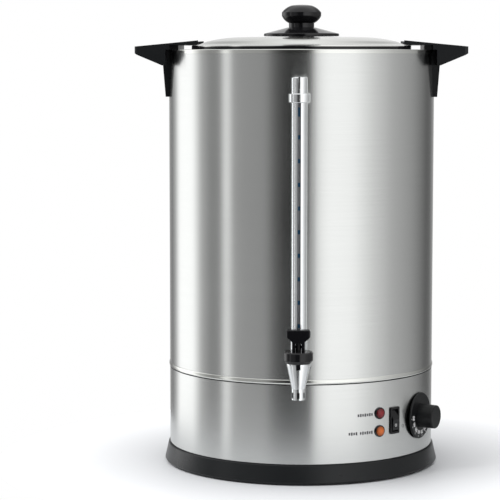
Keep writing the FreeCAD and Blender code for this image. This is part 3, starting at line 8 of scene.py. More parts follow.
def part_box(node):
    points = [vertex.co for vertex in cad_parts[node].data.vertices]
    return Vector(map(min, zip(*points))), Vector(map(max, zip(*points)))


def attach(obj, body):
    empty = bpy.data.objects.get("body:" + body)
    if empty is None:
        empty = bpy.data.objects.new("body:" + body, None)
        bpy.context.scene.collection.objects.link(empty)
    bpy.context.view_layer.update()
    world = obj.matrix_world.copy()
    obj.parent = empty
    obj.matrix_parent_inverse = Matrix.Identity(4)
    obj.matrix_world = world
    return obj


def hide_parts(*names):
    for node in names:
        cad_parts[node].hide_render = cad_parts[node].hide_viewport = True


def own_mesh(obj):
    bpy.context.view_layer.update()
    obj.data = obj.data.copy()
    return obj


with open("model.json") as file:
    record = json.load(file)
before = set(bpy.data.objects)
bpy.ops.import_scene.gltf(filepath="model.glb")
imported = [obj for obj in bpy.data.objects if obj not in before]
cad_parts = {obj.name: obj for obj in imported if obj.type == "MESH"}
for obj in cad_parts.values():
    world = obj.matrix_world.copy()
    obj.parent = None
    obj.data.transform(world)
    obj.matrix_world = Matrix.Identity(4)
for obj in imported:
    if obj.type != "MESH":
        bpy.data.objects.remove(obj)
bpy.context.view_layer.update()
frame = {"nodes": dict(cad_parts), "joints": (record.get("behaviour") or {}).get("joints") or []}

bl_info = {
    "name": "Hot water urn",
    "version": (1, 0, 0),
    "blender": (4, 5, 0),
    "location": "View3D > Sidebar > Urn",
    "description": "Gives the packed hot water urn its finishes, printed marks, trim and stage",
    "category": "Object",
}

MM = 0.001
NODES = frame["nodes"]
SHELL_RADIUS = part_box("outer_shell")[1][0]
SEAM_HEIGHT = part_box("outer_shell")[0][2]
BASE_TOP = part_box("base_ring")[1][2]

# how far a bead or a painted shadow line sinks into the wall behind it
SUNK = 0.02 * MM
# how far the rolled bead reaches up over the shell's lower edge
BEAD_OVERLAP = 0.6 * MM
BEAD_STEPS = 12

# radius of the wool's inner side, just outside the tank
WOOL_INSIDE = SHELL_RADIUS - 29.4 * MM
WOOL_MARGIN = 1.2 * MM
WOOL_LUMP = 2.0 * MM
WOOL_ROWS = 36

SPRING_WIRE = 0.5 * MM
SPRING_TURNS = 7

# the lever's web: its size, and how far its middle lies behind and above the lever's near lower corner
WEB_SIZE = (9.4 * MM, 1.8 * MM, 6.0 * MM)
WEB_BACK = 1.3 * MM
WEB_RISE = 11.7 * MM
# the spout's dark tube of painted shade and its rim: radii, and heights above the spout's lower end
SHADE_TUBE_RADII = (4.0 * MM, 4.45 * MM)
SHADE_TUBE_RISE = (0.4 * MM, 12.0 * MM)
RIM_BORE = 4.5 * MM
RIM_RADII = (7.2 * MM, 7.36 * MM)
RIM_RISE = (0.02 * MM, 1.9 * MM)

# a lamp's lens carries painted light: it is darkest, in painted shade, from this far out, and lightest this
# near its middle
LENS_EDGE = 5.4 * MM
LENS_HEART = 1.5 * MM

# the gauge's marks: their size, the lowest one's level, the rise to the next one and their number
MARK_WIDTH = 2.6 * MM
MARK_HEIGHT = 4.6 * MM
FIRST_MARK = 181.6 * MM
MARK_PITCH = 25.87 * MM
MARK_COUNT = 9
# level and height of the long mark at the gauge's top
TOP_MARK = (416 * MM, 10 * MM)

# the switch's signs: azimuth in degrees, height, then each sign's level in millimetres
SIGN_AZIMUTH = 49.4
SIGN_HEIGHT = 5.5 * MM
SIGNS = (("I", 75.1), ("O", 57.6))
# the captions beside the lamps, as plain bars: azimuth in degrees, width and heights of the bars, then
# each caption's level and where its bars stand across it, in millimetres
CAPTION_AZIMUTH = 29.3
BAR_WIDTH = 1.9 * MM
BAR_HEIGHTS = (2.8, 3.6)
CAPTIONS = (
    ("heat", 76.2, (-10.5, -7.6, -4.7, -1.8, 1.1, 4.0, 6.9)),
    ("cup", 55.9, (-21.5, -18.6, -15.7, -12.8, -7.6, -4.7, -1.8, 1.1, 4.0, 6.9)),
)

# the rocker at rest: its tilt and the fall of each half of its face, in degrees
ROCKER_TILT = -10
ROCKER_FALL = 14.93
# height of the off sign, its place below the pivot, and how far out the face lies there
OFF_HEIGHT = 4.6 * MM
OFF_PLACE = -6.6 * MM
OFF_REACH = 5.24 * MM

# how far the dial's face, which carries its numerals, stands out of the shell
DIAL_FACE = 3.0 * MM
DIAL_NUMERALS = ("30", "40", "50", "60", "70", "80", "90", "100")
# how far the numerals and the ticks stand from the dial's middle
NUMERAL_REACH = 19.0 * MM
TICK_REACH = 23.8 * MM
# turn of the first numeral, and from one to the next, in degrees
FIRST_NUMERAL = 92
NUMERAL_STEP = 24
NUMERAL_WEIGHT = 0.22 * MM


# Settings that a user would change


class UrnColours(bpy.types.PropertyGroup):
    steel: bpy.props.FloatVectorProperty(
        name="Steel", description="Colour of the brushed shell", subtype="COLOR", size=3,
        default=(0.62, 0.63, 0.62), min=0, max=1)
    polished: bpy.props.FloatVectorProperty(
        name="Polished steel", description="Colour of the rim and the lid", subtype="COLOR", size=3,
        default=(0.70, 0.71, 0.68), min=0, max=1)
    bright_plating: bpy.props.FloatVectorProperty(
        name="Bright plating", description="Colour of the gauge and the tap", subtype="COLOR", size=3,
        default=(0.80, 0.82, 0.83), min=0, max=1)
    satin_black: bpy.props.FloatVectorProperty(
        name="Satin black", description="Colour of the base and the handles", subtype="COLOR", size=3,
        default=(0.011, 0.012, 0.013), min=0, max=1)
    glossy_black: bpy.props.FloatVectorProperty(
        name="Glossy black", description="Colour of the knob, the lever and the switch",
        subtype="COLOR", size=3, default=(0.006, 0.006, 0.007), min=0, max=1)
    heating_lamp: bpy.props.FloatVectorProperty(
        name="Heating lamp", description="Colour of the upper lamp", subtype="COLOR", size=3,
        default=(0.20, 0.012, 0.017), min=0, max=1)
    ready_lamp: bpy.props.FloatVectorProperty(
        name="Ready lamp", description="Colour of the lower lamp", subtype="COLOR", size=3,
        default=(0.60, 0.135, 0.022), min=0, max=1)
    gauge_ink: bpy.props.FloatVectorProperty(
        name="Gauge ink", description="Colour of the level marks", subtype="COLOR", size=3,
        default=(0.02, 0.10, 0.20), min=0, max=1)


class UrnSizes(bpy.types.PropertyGroup):
    bead_height: bpy.props.FloatProperty(
        name="Bead height", description="Height of the rolled bead on the shell's lower edge",
        default=5.2 * MM, unit="LENGTH")
    bead_reach: bpy.props.FloatProperty(
        name="Bead reach", description="How far that bead stands out of the shell",
        default=0.9 * MM, unit="LENGTH")
    ink_thickness: bpy.props.FloatProperty(
        name="Ink thickness", description="How far printed marks stand proud",
        default=0.08 * MM, unit="LENGTH")
    numeral_height: bpy.props.FloatProperty(
        name="Numeral height", description="Size of the dial's numerals", default=5.8 * MM, unit="LENGTH")


class UrnStage(bpy.types.PropertyGroup):
    camera_distance: bpy.props.FloatProperty(
        name="Camera distance", description="From the urn's axis", default=2.3, unit="LENGTH")
    camera_height: bpy.props.FloatProperty(
        name="Camera height", description="Above the floor", default=0.4719, unit="LENGTH")
    camera_azimuth: bpy.props.FloatProperty(
        name="Camera azimuth", description="Turned from the front to the right, in degrees", default=0.711)
    camera_turn: bpy.props.FloatProperty(
        name="Camera turn", description="How far the camera looks left of the axis, in degrees",
        default=1.501)
    camera_pitch: bpy.props.FloatProperty(
        name="Camera pitch", description="How far the camera looks down, in degrees", default=5.548)
    camera_lens: bpy.props.FloatProperty(
        name="Camera lens", description="Focal length in millimetres", default=140.66)
    floor_radius: bpy.props.FloatProperty(
        name="Floor radius", description="Size of the round floor", default=0.36, unit="LENGTH")


# Helpers for meshes


def deselect():
    """Leaves nothing selected."""
    bpy.ops.object.select_all(action="DESELECT")


def start(kind, name, **options):
    """Adds a primitive with nothing else selected."""
    deselect()
    getattr(bpy.ops.mesh, f"primitive_{kind}_add")(**options)
    piece = bpy.context.object
    piece.name = name
    return piece


def settle(piece, place=None):
    """Puts a piece at its place and moves that place into its mesh."""
    deselect()
    piece.select_set(True)
    bpy.context.view_layer.objects.active = piece
    if place is not None:
        piece.matrix_world = place
    bpy.ops.object.transform_apply(location=True, rotation=True, scale=True)
    return piece


def finish(piece, body, material, angle=35):
    """Smooths a piece, gives it its material and hangs it on its body."""
    deselect()
    piece.select_set(True)
    bpy.context.view_layer.objects.active = piece
    bpy.ops.object.shade_smooth_by_angle(angle=math.radians(angle))
    piece.data.materials.clear()
    piece.data.materials.append(material)
    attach(piece, body)
    return piece


def lathe(name, profile, segments=128):
    """Draws a ring from point to point along (radius, height) pairs, back to where it began."""
    radius, height = profile[0]
    piece = start("circle", name, vertices=segments, radius=radius, location=(0, 0, height))
    bpy.ops.object.mode_set(mode="EDIT")
    bpy.ops.mesh.select_all(action="SELECT")
    points = list(profile) + [profile[0]]
    for (radius, height), (next_radius, next_height) in zip(points, points[1:]):
        bpy.ops.mesh.extrude_region_move(TRANSFORM_OT_translate={"value": (0, 0, next_height - height)})
        ratio = next_radius / radius
        bpy.ops.transform.resize(value=(ratio, ratio, 1), center_override=(0, 0, next_height))
    bpy.ops.mesh.select_all(action="SELECT")
    bpy.ops.mesh.remove_doubles(threshold=1e-6)
    bpy.ops.mesh.normals_make_consistent(inside=False)
    bpy.ops.object.mode_set(mode="OBJECT")
    return settle(piece)


def joined(name, pieces):
    """Several pieces made one."""
    deselect()
    for piece in pieces:
        piece.select_set(True)
    bpy.context.view_layer.objects.active = pieces[0]
    bpy.ops.object.join()
    pieces[0].name = name
    return pieces[0]


def apply_modifiers(piece):
    """Makes what the modifiers do part of the mesh."""
    deselect()
    piece.select_set(True)
    bpy.context.view_layer.objects.active = piece
    for modifier in list(piece.modifiers):
        bpy.ops.object.modifier_apply(modifier=modifier.name)
    return piece


def wall(azimuth, level, radius):
    """A place on the round wall: z points out of it and y points up."""
    turn = math.radians(azimuth)
    out = Vector((math.sin(turn), -math.cos(turn), 0))
    side = Vector((math.cos(turn), math.sin(turn), 0))
    up = Vector((0, 0, 1))
    place = Matrix((side, up, out)).transposed().to_4x4()
    place.translation = out * radius + up * level
    return place


def joint_on_wall(name):
    """A joint's pivot, and its azimuth in degrees from the front to the right."""
    joint = next(joint for joint in frame["joints"] if joint["name"] == name)
    pivot = Vector(joint["pos_m"])
    return pivot, math.degrees(math.atan2(pivot.x, -pivot.y))


def bend_round(piece, radius):
    """Lays a flat print, drawn about its own middle, against a wall of that radius."""
    for vertex in piece.data.vertices:
        across, up, lift = vertex.co
        turn = across / radius
        reach = radius + lift
        vertex.co = (math.sin(turn) * reach, up, math.cos(turn) * reach - radius)
    return piece


def printed_text(name, words, size, thickness, bold=0.0):
    """A word drawn as a thin raised print, centred on its own middle."""
    deselect()
    bpy.ops.object.text_add()
    piece = bpy.context.object
    piece.name = name
    piece.data.body = words
    piece.data.size = size
    piece.data.align_x = "CENTER"
    piece.data.align_y = "CENTER"
    piece.data.extrude = thickness / 2
    piece.data.offset = bold
    piece.data.resolution_u = 4
    bpy.ops.object.convert(target="MESH")
    return bpy.context.object


def printed_bar(name, width, height, thickness, middle=(0, 0)):
    """A rectangular print, cut finely enough to be bent round a wall."""
    piece = start("cube", name, size=1, location=(middle[0], middle[1], 0),
                  scale=(width, height, thickness))
    settle(piece)
    cuts = max(1, int(width / (2 * MM)))
    bpy.ops.object.mode_set(mode="EDIT")
    bpy.ops.mesh.select_all(action="SELECT")
    bpy.ops.mesh.subdivide(number_cuts=cuts)
    bpy.ops.object.mode_set(mode="OBJECT")
    return piece


# Node groups


def node_group(name, inputs, outputs):
    """An empty shader group with its sockets."""
    tree = bpy.data.node_groups.new(name, "ShaderNodeTree")
    for label, kind, default in inputs:
        socket = tree.interface.new_socket(name=label, in_out="INPUT", socket_type=kind)
        socket.default_value = default
    for label, kind in outputs:
        tree.interface.new_socket(name=label, in_out="OUTPUT", socket_type=kind)
    entrance = tree.nodes.new("NodeGroupInput")
    way_out = tree.nodes.new("NodeGroupOutput")
    return tree, entrance, way_out


def math_node(tree, operation, first, second=None, third=None):
    """One step of arithmetic on values or links."""
    node = tree.nodes.new("ShaderNodeMath")
    node.operation = operation
    for index, value in enumerate((first, second, third)):
        if value is None:
            continue
        if isinstance(value, (int, float)):
            node.inputs[index].default_value = value
        else:
            tree.links.new(value, node.inputs[index])
    return node.outputs[0]


def noise(tree, vector, scale, detail, roughness=0.5):
    """Noise read at a place or direction."""
    node = tree.nodes.new("ShaderNodeTexNoise")
    node.inputs["Scale"].default_value = scale
    node.inputs["Detail"].default_value = detail
    node.inputs["Roughness"].default_value = roughness
    tree.links.new(vector, node.inputs["Vector"])
    return node.outputs["Fac"]


def make_grain_group():
    """Fine lines that run round the urn, with slow patches on top."""
    tree, entrance, way_out = node_group(
        "Drawn grain",
        [("Along", "NodeSocketFloat", 10.0), ("Across", "NodeSocketFloat", 1400.0),
         ("Patch Scale", "NodeSocketFloat", 9.0)],
        [("Height", "NodeSocketFloat"), ("Patches", "NodeSocketFloat")])
    place = tree.nodes.new("ShaderNodeTexCoord")
    apart = tree.nodes.new("ShaderNodeSeparateXYZ")
    together = tree.nodes.new("ShaderNodeCombineXYZ")
    tree.links.new(place.outputs["Object"], apart.inputs[0])
    for index, rate in ((0, "Along"), (1, "Along"), (2, "Across")):
        tree.links.new(math_node(tree, "MULTIPLY", apart.outputs[index], entrance.outputs[rate]),
                       together.inputs[index])
    lines = noise(tree, together.outputs[0], 1.0, 3.0, 0.6)
    patch_node = tree.nodes.new("ShaderNodeTexNoise")
    patch_node.inputs["Detail"].default_value = 2.0
    tree.links.new(entrance.outputs["Patch Scale"], patch_node.inputs["Scale"])
    tree.links.new(place.outputs["Object"], patch_node.inputs["Vector"])
    tree.links.new(lines, way_out.inputs["Height"])
    tree.links.new(patch_node.outputs["Fac"], way_out.inputs["Patches"])
    return tree


def make_mould_group():
    """The fine pebbled skin of a moulding, and a little dust on what faces up."""
    tree, entrance, way_out = node_group(
        "Moulded skin",
        [("Pebble Scale", "NodeSocketFloat", 1600.0), ("Dust", "NodeSocketFloat", 0.15)],
        [("Height", "NodeSocketFloat"), ("Patches", "NodeSocketFloat"), ("Dust Mask", "NodeSocketFloat")])
    place = tree.nodes.new("ShaderNodeTexCoord")
    pebble = tree.nodes.new("ShaderNodeTexNoise")
    pebble.inputs["Detail"].default_value = 2.0
    tree.links.new(entrance.outputs["Pebble Scale"], pebble.inputs["Scale"])
    tree.links.new(place.outputs["Object"], pebble.inputs["Vector"])
    patches = noise(tree, place.outputs["Object"], 22.0, 3.0)
    surface = tree.nodes.new("ShaderNodeNewGeometry")
    facing = tree.nodes.new("ShaderNodeSeparateXYZ")
    tree.links.new(surface.outputs["Normal"], facing.inputs[0])
    upward = math_node(tree, "MAXIMUM", facing.outputs[2], 0.0)
    settled = math_node(tree, "MULTIPLY", upward, patches)
    tree.links.new(pebble.outputs["Fac"], way_out.inputs["Height"])
    tree.links.new(patches, way_out.inputs["Patches"])
    dusted = math_node(tree, "MULTIPLY", settled, entrance.outputs["Dust"])
    tree.links.new(dusted, way_out.inputs["Dust Mask"])
    return tree


# Materials


def new_material(name, colour, roughness, metallic=0.0, **sockets):
    """A material with its tree and shader; further sockets go by their names, with _ for a space."""
    material = bpy.data.materials.new(name)
    material.use_nodes = True
    material.diffuse_color = (*colour, 1)
    shader = material.node_tree.nodes["Principled BSDF"]
    shader.inputs["Base Color"].default_value = (*colour, 1)
    shader.inputs["Roughness"].default_value = roughness
    shader.inputs["Metallic"].default_value = metallic
    for label, value in sockets.items():
        shader.inputs[label.replace("_", " ")].default_value = value
    return material, material.node_tree, shader


def use_group(tree, name, **sockets):
    """Puts a node group into a tree and sets its sockets."""
    node = tree.nodes.new("ShaderNodeGroup")
    node.node_tree = bpy.data.node_groups[name]
    for label, value in sockets.items():
        node.inputs[label.replace("_", " ")].default_value = value
    return node


def vary(tree, socket, mask, low, high):
    """Lets a mask move a value between two limits."""
    span = tree.nodes.new("ShaderNodeMapRange")
    span.inputs["From Min"].default_value = 0.3
    span.inputs["From Max"].default_value = 0.7
    span.inputs["To Min"].default_value = low
    span.inputs["To Max"].default_value = high
    tree.links.new(mask, span.inputs["Value"])
    tree.links.new(span.outputs["Result"], socket)


def tint(tree, socket, mask, first, second):
    """Lets a mask move a colour between two others."""
    blend = tree.nodes.new("ShaderNodeMix")
    blend.data_type = "RGBA"
    blend.inputs["A"].default_value = (*first, 1)
    blend.inputs["B"].default_value = (*second, 1)
    tree.links.new(mask, blend.inputs["Factor"])
    tree.links.new(blend.outputs["Result"], socket)


def bump(tree, shader, height, strength, distance):
    """Gives a shader a fine relief."""
    node = tree.nodes.new("ShaderNodeBump")
    node.inputs["Strength"].default_value = strength
    node.inputs["Distance"].default_value = distance
    tree.links.new(height, node.inputs["Height"])
    tree.links.new(node.outputs["Normal"], shader.inputs["Normal"])


def shaded(colour, factor):
    """A colour made darker or lighter."""
    return tuple(min(1.0, part * factor) for part in colour)


def drawn_metal(name, colour, roughness, strength, along=10.0, across=1400.0, anisotropic=0.0):
    """Metal with fine lines round the urn's axis."""
    material, tree, shader = new_material(name, colour, roughness, 1.0, Anisotropic=anisotropic,
                                          Anisotropic_Rotation=0.25)
    grain = use_group(tree, "Drawn grain", Along=along, Across=across)
    vary(tree, shader.inputs["Roughness"], grain.outputs["Patches"], roughness * 0.93, roughness * 1.08)
    tint(tree, shader.inputs["Base Color"], grain.outputs["Height"],
         shaded(colour, 0.955), shaded(colour, 1.04))
    bump(tree, shader, grain.outputs["Height"], strength, 0.02 * MM)
    if anisotropic:
        tangent = tree.nodes.new("ShaderNodeTangent")
        tangent.direction_type = "RADIAL"
        tangent.axis = "Z"
        tree.links.new(tangent.outputs[0], shader.inputs["Tangent"])
    return material


def moulding(name, colour, roughness, strength, pebble=1600.0, dust=0.15, coat=0.0, gloss=0.5):
    """Moulded plastic, rubber or the like."""
    material, tree, shader = new_material(name, colour, roughness, 0.0, Coat_Weight=coat,
                                          Coat_Roughness=0.06, Specular_IOR_Level=gloss)
    skin = use_group(tree, "Moulded skin", Pebble_Scale=pebble, Dust=dust)
    vary(tree, shader.inputs["Roughness"], skin.outputs["Patches"], roughness * 0.85, roughness * 1.15)
    tint(tree, shader.inputs["Base Color"], skin.outputs["Dust Mask"], colour, (0.35, 0.34, 0.32))
    bump(tree, shader, skin.outputs["Height"], strength, 0.03 * MM)
    return material


def lamp_lens(name, colour, centre):
    """A lens with painted light: lighter in its middle, darker towards its edge, with rays that run to its
    edge.
    """
    material, tree, shader = new_material(name, colour, 0.25, 0.0, Coat_Weight=0.15, Coat_Roughness=0.05,
                                          Specular_IOR_Level=0.3)
    place = tree.nodes.new("ShaderNodeTexCoord")
    centred = tree.nodes.new("ShaderNodeMapping")
    centred.inputs["Location"].default_value = tuple(-part for part in centre)
    tree.links.new(place.outputs["Object"], centred.inputs["Vector"])
    reach = tree.nodes.new("ShaderNodeVectorMath")
    reach.operation = "LENGTH"
    tree.links.new(centred.outputs[0], reach.inputs[0])
    painted_light_mask = tree.nodes.new("ShaderNodeMapRange")
    painted_light_mask.inputs["From Min"].default_value = LENS_EDGE
    painted_light_mask.inputs["From Max"].default_value = LENS_HEART
    tree.links.new(reach.outputs["Value"], painted_light_mask.inputs["Value"])
    # painted light: the lens's colour darkens towards its edge and lightens towards its middle
    tint(tree, shader.inputs["Base Color"], painted_light_mask.outputs["Result"],
         shaded(colour, 0.42), shaded(colour, 1.5))
    ripples = noise(tree, centred.outputs[0], 900.0, 1.0)
    bump(tree, shader, ripples, 0.25, 0.2 * MM)
    return material


def clear_glass(name):
    """Slightly milky glass."""
    material, tree, shader = new_material(name, (0.50, 0.52, 0.55), 0.03, 0.0,
                                          Transmission_Weight=0.35, IOR=1.47)
    skin = use_group(tree, "Moulded skin", Pebble_Scale=120.0, Dust=0.0)
    vary(tree, shader.inputs["Roughness"], skin.outputs["Patches"], 0.02, 0.06)
    return material


FINISH = {}


def make_finishes(colours):
    """Every finish of the urn, by the name that the operators use."""
    make_grain_group()
    make_mould_group()
    steel = tuple(colours.steel)
    black = tuple(colours.satin_black)
    gloss = tuple(colours.glossy_black)
    plating = tuple(colours.bright_plating)
    FINISH.update({
        "brushed steel": drawn_metal("Brushed steel", steel, 0.25, 0.10, anisotropic=0.8),
        "rim steel": drawn_metal("Rim steel", tuple(colours.polished), 0.16, 0.04,
                                 along=6.0, across=500.0),
        "plain steel": drawn_metal("Plain steel", shaded(steel, 0.9), 0.38, 0.12,
                                   along=200.0, across=200.0),
        "zinc": drawn_metal("Zinc plate", (0.62, 0.63, 0.65), 0.30, 0.10, along=400.0, across=400.0),
        "bright plating": drawn_metal("Bright plating", plating, 0.22, 0.03, along=120.0, across=120.0),
        "cast metal": drawn_metal("Cast aluminium", (0.66, 0.66, 0.67), 0.48, 0.30,
                                  along=500.0, across=500.0),
        "brass": drawn_metal("Brass", (0.66, 0.49, 0.22), 0.30, 0.08, along=300.0, across=300.0),
        "satin black": moulding("Satin black moulding", black, 0.30, 0.12, dust=0.0, gloss=0.22),
        "dial black": moulding("Dial black moulding", shaded(black, 0.6), 0.36, 0.10,
                               dust=0.02, gloss=0.25),
        "glossy black": moulding("Glossy black moulding", gloss, 0.13, 0.02, pebble=500.0,
                                 dust=0.01, coat=0.1, gloss=0.3),
        "inner black": moulding("Inner black plastic", (0.035, 0.035, 0.036), 0.62, 0.2, dust=0.2),
        "rubber": moulding("Foot rubber", (0.03, 0.03, 0.031), 0.78, 0.3, pebble=900.0, dust=0.2),
        "silicone": moulding("White silicone", (0.72, 0.72, 0.69), 0.5, 0.08, pebble=700.0, dust=0.0),
        "scale strip": moulding("Scale strip", (0.80, 0.82, 0.84), 0.4, 0.03, dust=0.0),
        "gauge ink": moulding("Gauge ink", tuple(colours.gauge_ink), 0.5, 0.05, dust=0.0),
        # painted shade: the dark rings at the seam and the base, and the dark tube inside the spout
        "painted shade": moulding("Painted shade", (0.012, 0.012, 0.013), 0.6, 0.05, dust=0.0, gloss=0.2),
        "dark ink": moulding("Dark ink", (0.06, 0.06, 0.065), 0.55, 0.05, dust=0.0),
        "white ink": moulding("White ink", (0.80, 0.80, 0.80), 0.5, 0.05, dust=0.0),
        "wool": moulding("Mineral wool", (0.66, 0.60, 0.44), 0.95, 1.0, pebble=260.0, dust=0.0),
        "glass": clear_glass("Gauge glass"),
    })
    for key, node, colour in (("heating lens", "heating_lens", colours.heating_lamp),
                              ("ready lens", "ready_lens", colours.ready_lamp)):
        low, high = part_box(node)
        centre = tuple((a + b) / 2 for a, b in zip(low, high))
        FINISH[key] = lamp_lens(key.capitalize(), tuple(colour), centre)


def dress(finish_name, *names):
    """Puts a finish on nodes of the frame."""
    for name in names:
        piece = NODES[name]
        if not piece.material_slots:
            piece.data.materials.append(FINISH[finish_name])
        for slot in piece.material_slots:
            slot.material = FINISH[finish_name]


# Operators, one for each piece or group of like pieces


class URN_OT_finishes(bpy.types.Operator):
    """Makes every finish that the other steps use"""
    bl_idname = "urn.finishes"
    bl_label = "Finishes"

    def execute(self, context):
        make_finishes(context.scene.urn_colours)
        return {"FINISHED"}


class URN_OT_walls(bpy.types.Operator):
    """Dresses the shell, the housing, the tank with its rim, and the lid"""
    bl_idname = "urn.walls"
    bl_label = "Walls and lid"

    def execute(self, context):
        dress("brushed steel", "outer_shell", "lower_housing")
        dress("rim steel", "water_tank", "lid_pan")
        dress("glossy black", "lid_ring", "knob_flange", "lid_knob")
        dress("zinc", "knob_screw")
        dress("plain steel", "knob_washer")
        return {"FINISHED"}


class URN_OT_mouldings(bpy.types.Operator):
    """Dresses the base, the handles and what stands on the counter"""
    bl_idname = "urn.mouldings"
    bl_label = "Base and handles"

    def execute(self, context):
        dress("satin black", "base_ring", "handle_right", "handle_left")
        dress("rubber", "rubber_feet")
        dress("plain steel", "base_plate", "backing_plates")
        dress("zinc", "base_screws", "handle_screws", "handle_nuts")
        return {"FINISHED"}


class URN_OT_water_way(bpy.types.Operator):
    """Dresses the sight gauge and the tap"""
    bl_idname = "urn.water_way"
    bl_label = "Gauge and tap"

    def execute(self, context):
        dress("bright plating", "gauge_shank", "gauge_nut", "gauge_shield", "gauge_ring", "gauge_cap",
              "tap_body")
        dress("glossy black", "tap_bonnet", "tap_lever", "tap_stem", "lever_pin")
        dress("plain steel", "tap_spring")
        dress("silicone", "tap_seat", "gauge_seal", "shank_washers")
        dress("brass", "shank_nut")
        dress("inner black", "shank_spacer")
        dress("glass", "gauge_glass")
        dress("scale strip", "gauge_scale")
        return {"FINISHED"}


class URN_OT_controls(bpy.types.Operator):
    """Dresses the lamps, the rocker, the thermostat and the mains inlet"""
    bl_idname = "urn.controls"
    bl_label = "Controls"

    def execute(self, context):
        dress("glossy black", "lamp_bodies", "switch_body", "switch_rocker", "mains_inlet")
        dress("heating lens", "heating_lens")
        dress("ready lens", "ready_lens")
        dress("dial black", "thermostat_knob")
        dress("zinc", "thermostat_shaft", "thermostat_nut", "inlet_screws")
        dress("inner black", "thermostat_body", "lamp_nuts")
        dress("brass", "inlet_pins")
        return {"FINISHED"}


class URN_OT_inner_works(bpy.types.Operator):
    """Dresses the heater and the wiring points"""
    bl_idname = "urn.inner_works"
    bl_label = "Inner works"

    def execute(self, context):
        dress("cast metal", "heater_plate")
        dress("plain steel", "heating_element", "capillary_bulb")
        dress("zinc", "element_tabs", "element_clamp", "clamp_stud", "clamp_nut", "earth_stud")
        dress("inner black", "thermal_cutout", "terminal_block")
        dress("wool", "insulation_sleeve")
        return {"FINISHED"}


class URN_OT_beads(bpy.types.Operator):
    """Rolls the bead on the shell's lower edge and draws the painted shadow lines below it and above the
    base
    """
    bl_idname = "urn.beads"
    bl_label = "Rolled beads"

    def execute(self, context):
        sizes = context.scene.urn_sizes
        foot = SEAM_HEIGHT + BEAD_OVERLAP - sizes.bead_height
        for name, bottom, height, reach, slot, material in (
                ("seam_bead", foot, sizes.bead_height, sizes.bead_reach, "polished_steel", "rim steel"),
                # painted shadow: dark rings drawn where shade falls below the bead and above the base
                ("seam_painted_shadow", foot - 1.1 * MM, 1.1 * MM, 0.15 * MM, "black_inner", "painted shade"),
                ("base_painted_shadow", BASE_TOP - 0.2 * MM, 1.3 * MM, 0.25 * MM, "black_inner", "painted shade")):
            middle = bottom + height / 2
            steps = [math.radians(-90 + 180 * index / BEAD_STEPS) for index in range(BEAD_STEPS + 1)]
            profile = [(SHELL_RADIUS + reach * math.cos(step), middle + height / 2 * math.sin(step))
                       for step in steps]
            inside = SHELL_RADIUS - SUNK
            profile = [(inside, bottom)] + profile + [(inside, bottom + height)]
            bead = lathe(name, profile, segments=192)
            finish(bead, "urn", FINISH[material], angle=50)
        return {"FINISHED"}


class URN_OT_wool_wrap(bpy.types.Operator):
    """Lays a lumpy wrap of mineral wool round the tank in place of its plain sleeve"""
    bl_idname = "urn.wool_wrap"
    bl_label = "Wool wrap"

    def execute(self, context):
        low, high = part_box("insulation_sleeve")
        outer = high[0] - WOOL_MARGIN
        bottom = low[2] + WOOL_MARGIN
        top = high[2] - WOOL_MARGIN
        rise = [bottom + (top - bottom) * index / WOOL_ROWS for index in range(WOOL_ROWS + 1)]
        profile = [(WOOL_INSIDE, bottom)] + [(outer, level) for level in rise] + [(WOOL_INSIDE, top)]
        wrap = lathe("wool_wrap", profile, segments=160)
        lumps = bpy.data.textures.new("Wool lumps", "CLOUDS")
        lumps.noise_scale = 0.03
        swell = wrap.modifiers.new("Lumps", "DISPLACE")
        swell.texture = lumps
        swell.strength = WOOL_LUMP
        swell.mid_level = 0.6
        finish(apply_modifiers(wrap), "urn", FINISH["wool"], angle=60)
        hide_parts("insulation_sleeve")
        return {"FINISHED"}


class URN_OT_valve_spring(bpy.types.Operator):
    """Winds the coil spring that presses the tap's seat down"""
    bl_idname = "urn.valve_spring"
    bl_label = "Valve spring"

    def execute(self, context):
        low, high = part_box("tap_spring")
        middle = (low[1] + high[1]) / 2
        radius = (high[0] - low[0]) / 2 - SPRING_WIRE - 0.1 * MM
        rise = (high[2] - low[2] - 2 * SPRING_WIRE) / SPRING_TURNS
        coil = start("circle", "valve_spring", vertices=10, radius=SPRING_WIRE,
                     location=(radius, 0, low[2] + SPRING_WIRE), rotation=(math.radians(90), 0, 0))
        settle(coil)
        wind = coil.modifiers.new("Wind", "SCREW")
        wind.screw_offset = rise
        wind.iterations = SPRING_TURNS
        wind.steps = 32
        wind.render_steps = 32
        wind.use_merge_vertices = False
        apply_modifiers(coil)
        bpy.ops.object.mode_set(mode="EDIT")
        bpy.ops.mesh.select_all(action="DESELECT")
        bpy.ops.mesh.select_non_manifold()
        bpy.ops.mesh.edge_face_add()
        bpy.ops.mesh.select_all(action="SELECT")
        bpy.ops.mesh.normals_make_consistent(inside=False)
        bpy.ops.object.mode_set(mode="OBJECT")
        settle(coil, Matrix.Translation((0, middle, 0)))
        finish(coil, "urn", FINISH["plain steel"], angle=60)
        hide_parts("tap_spring")
        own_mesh(coil)
        return {"FINISHED"}


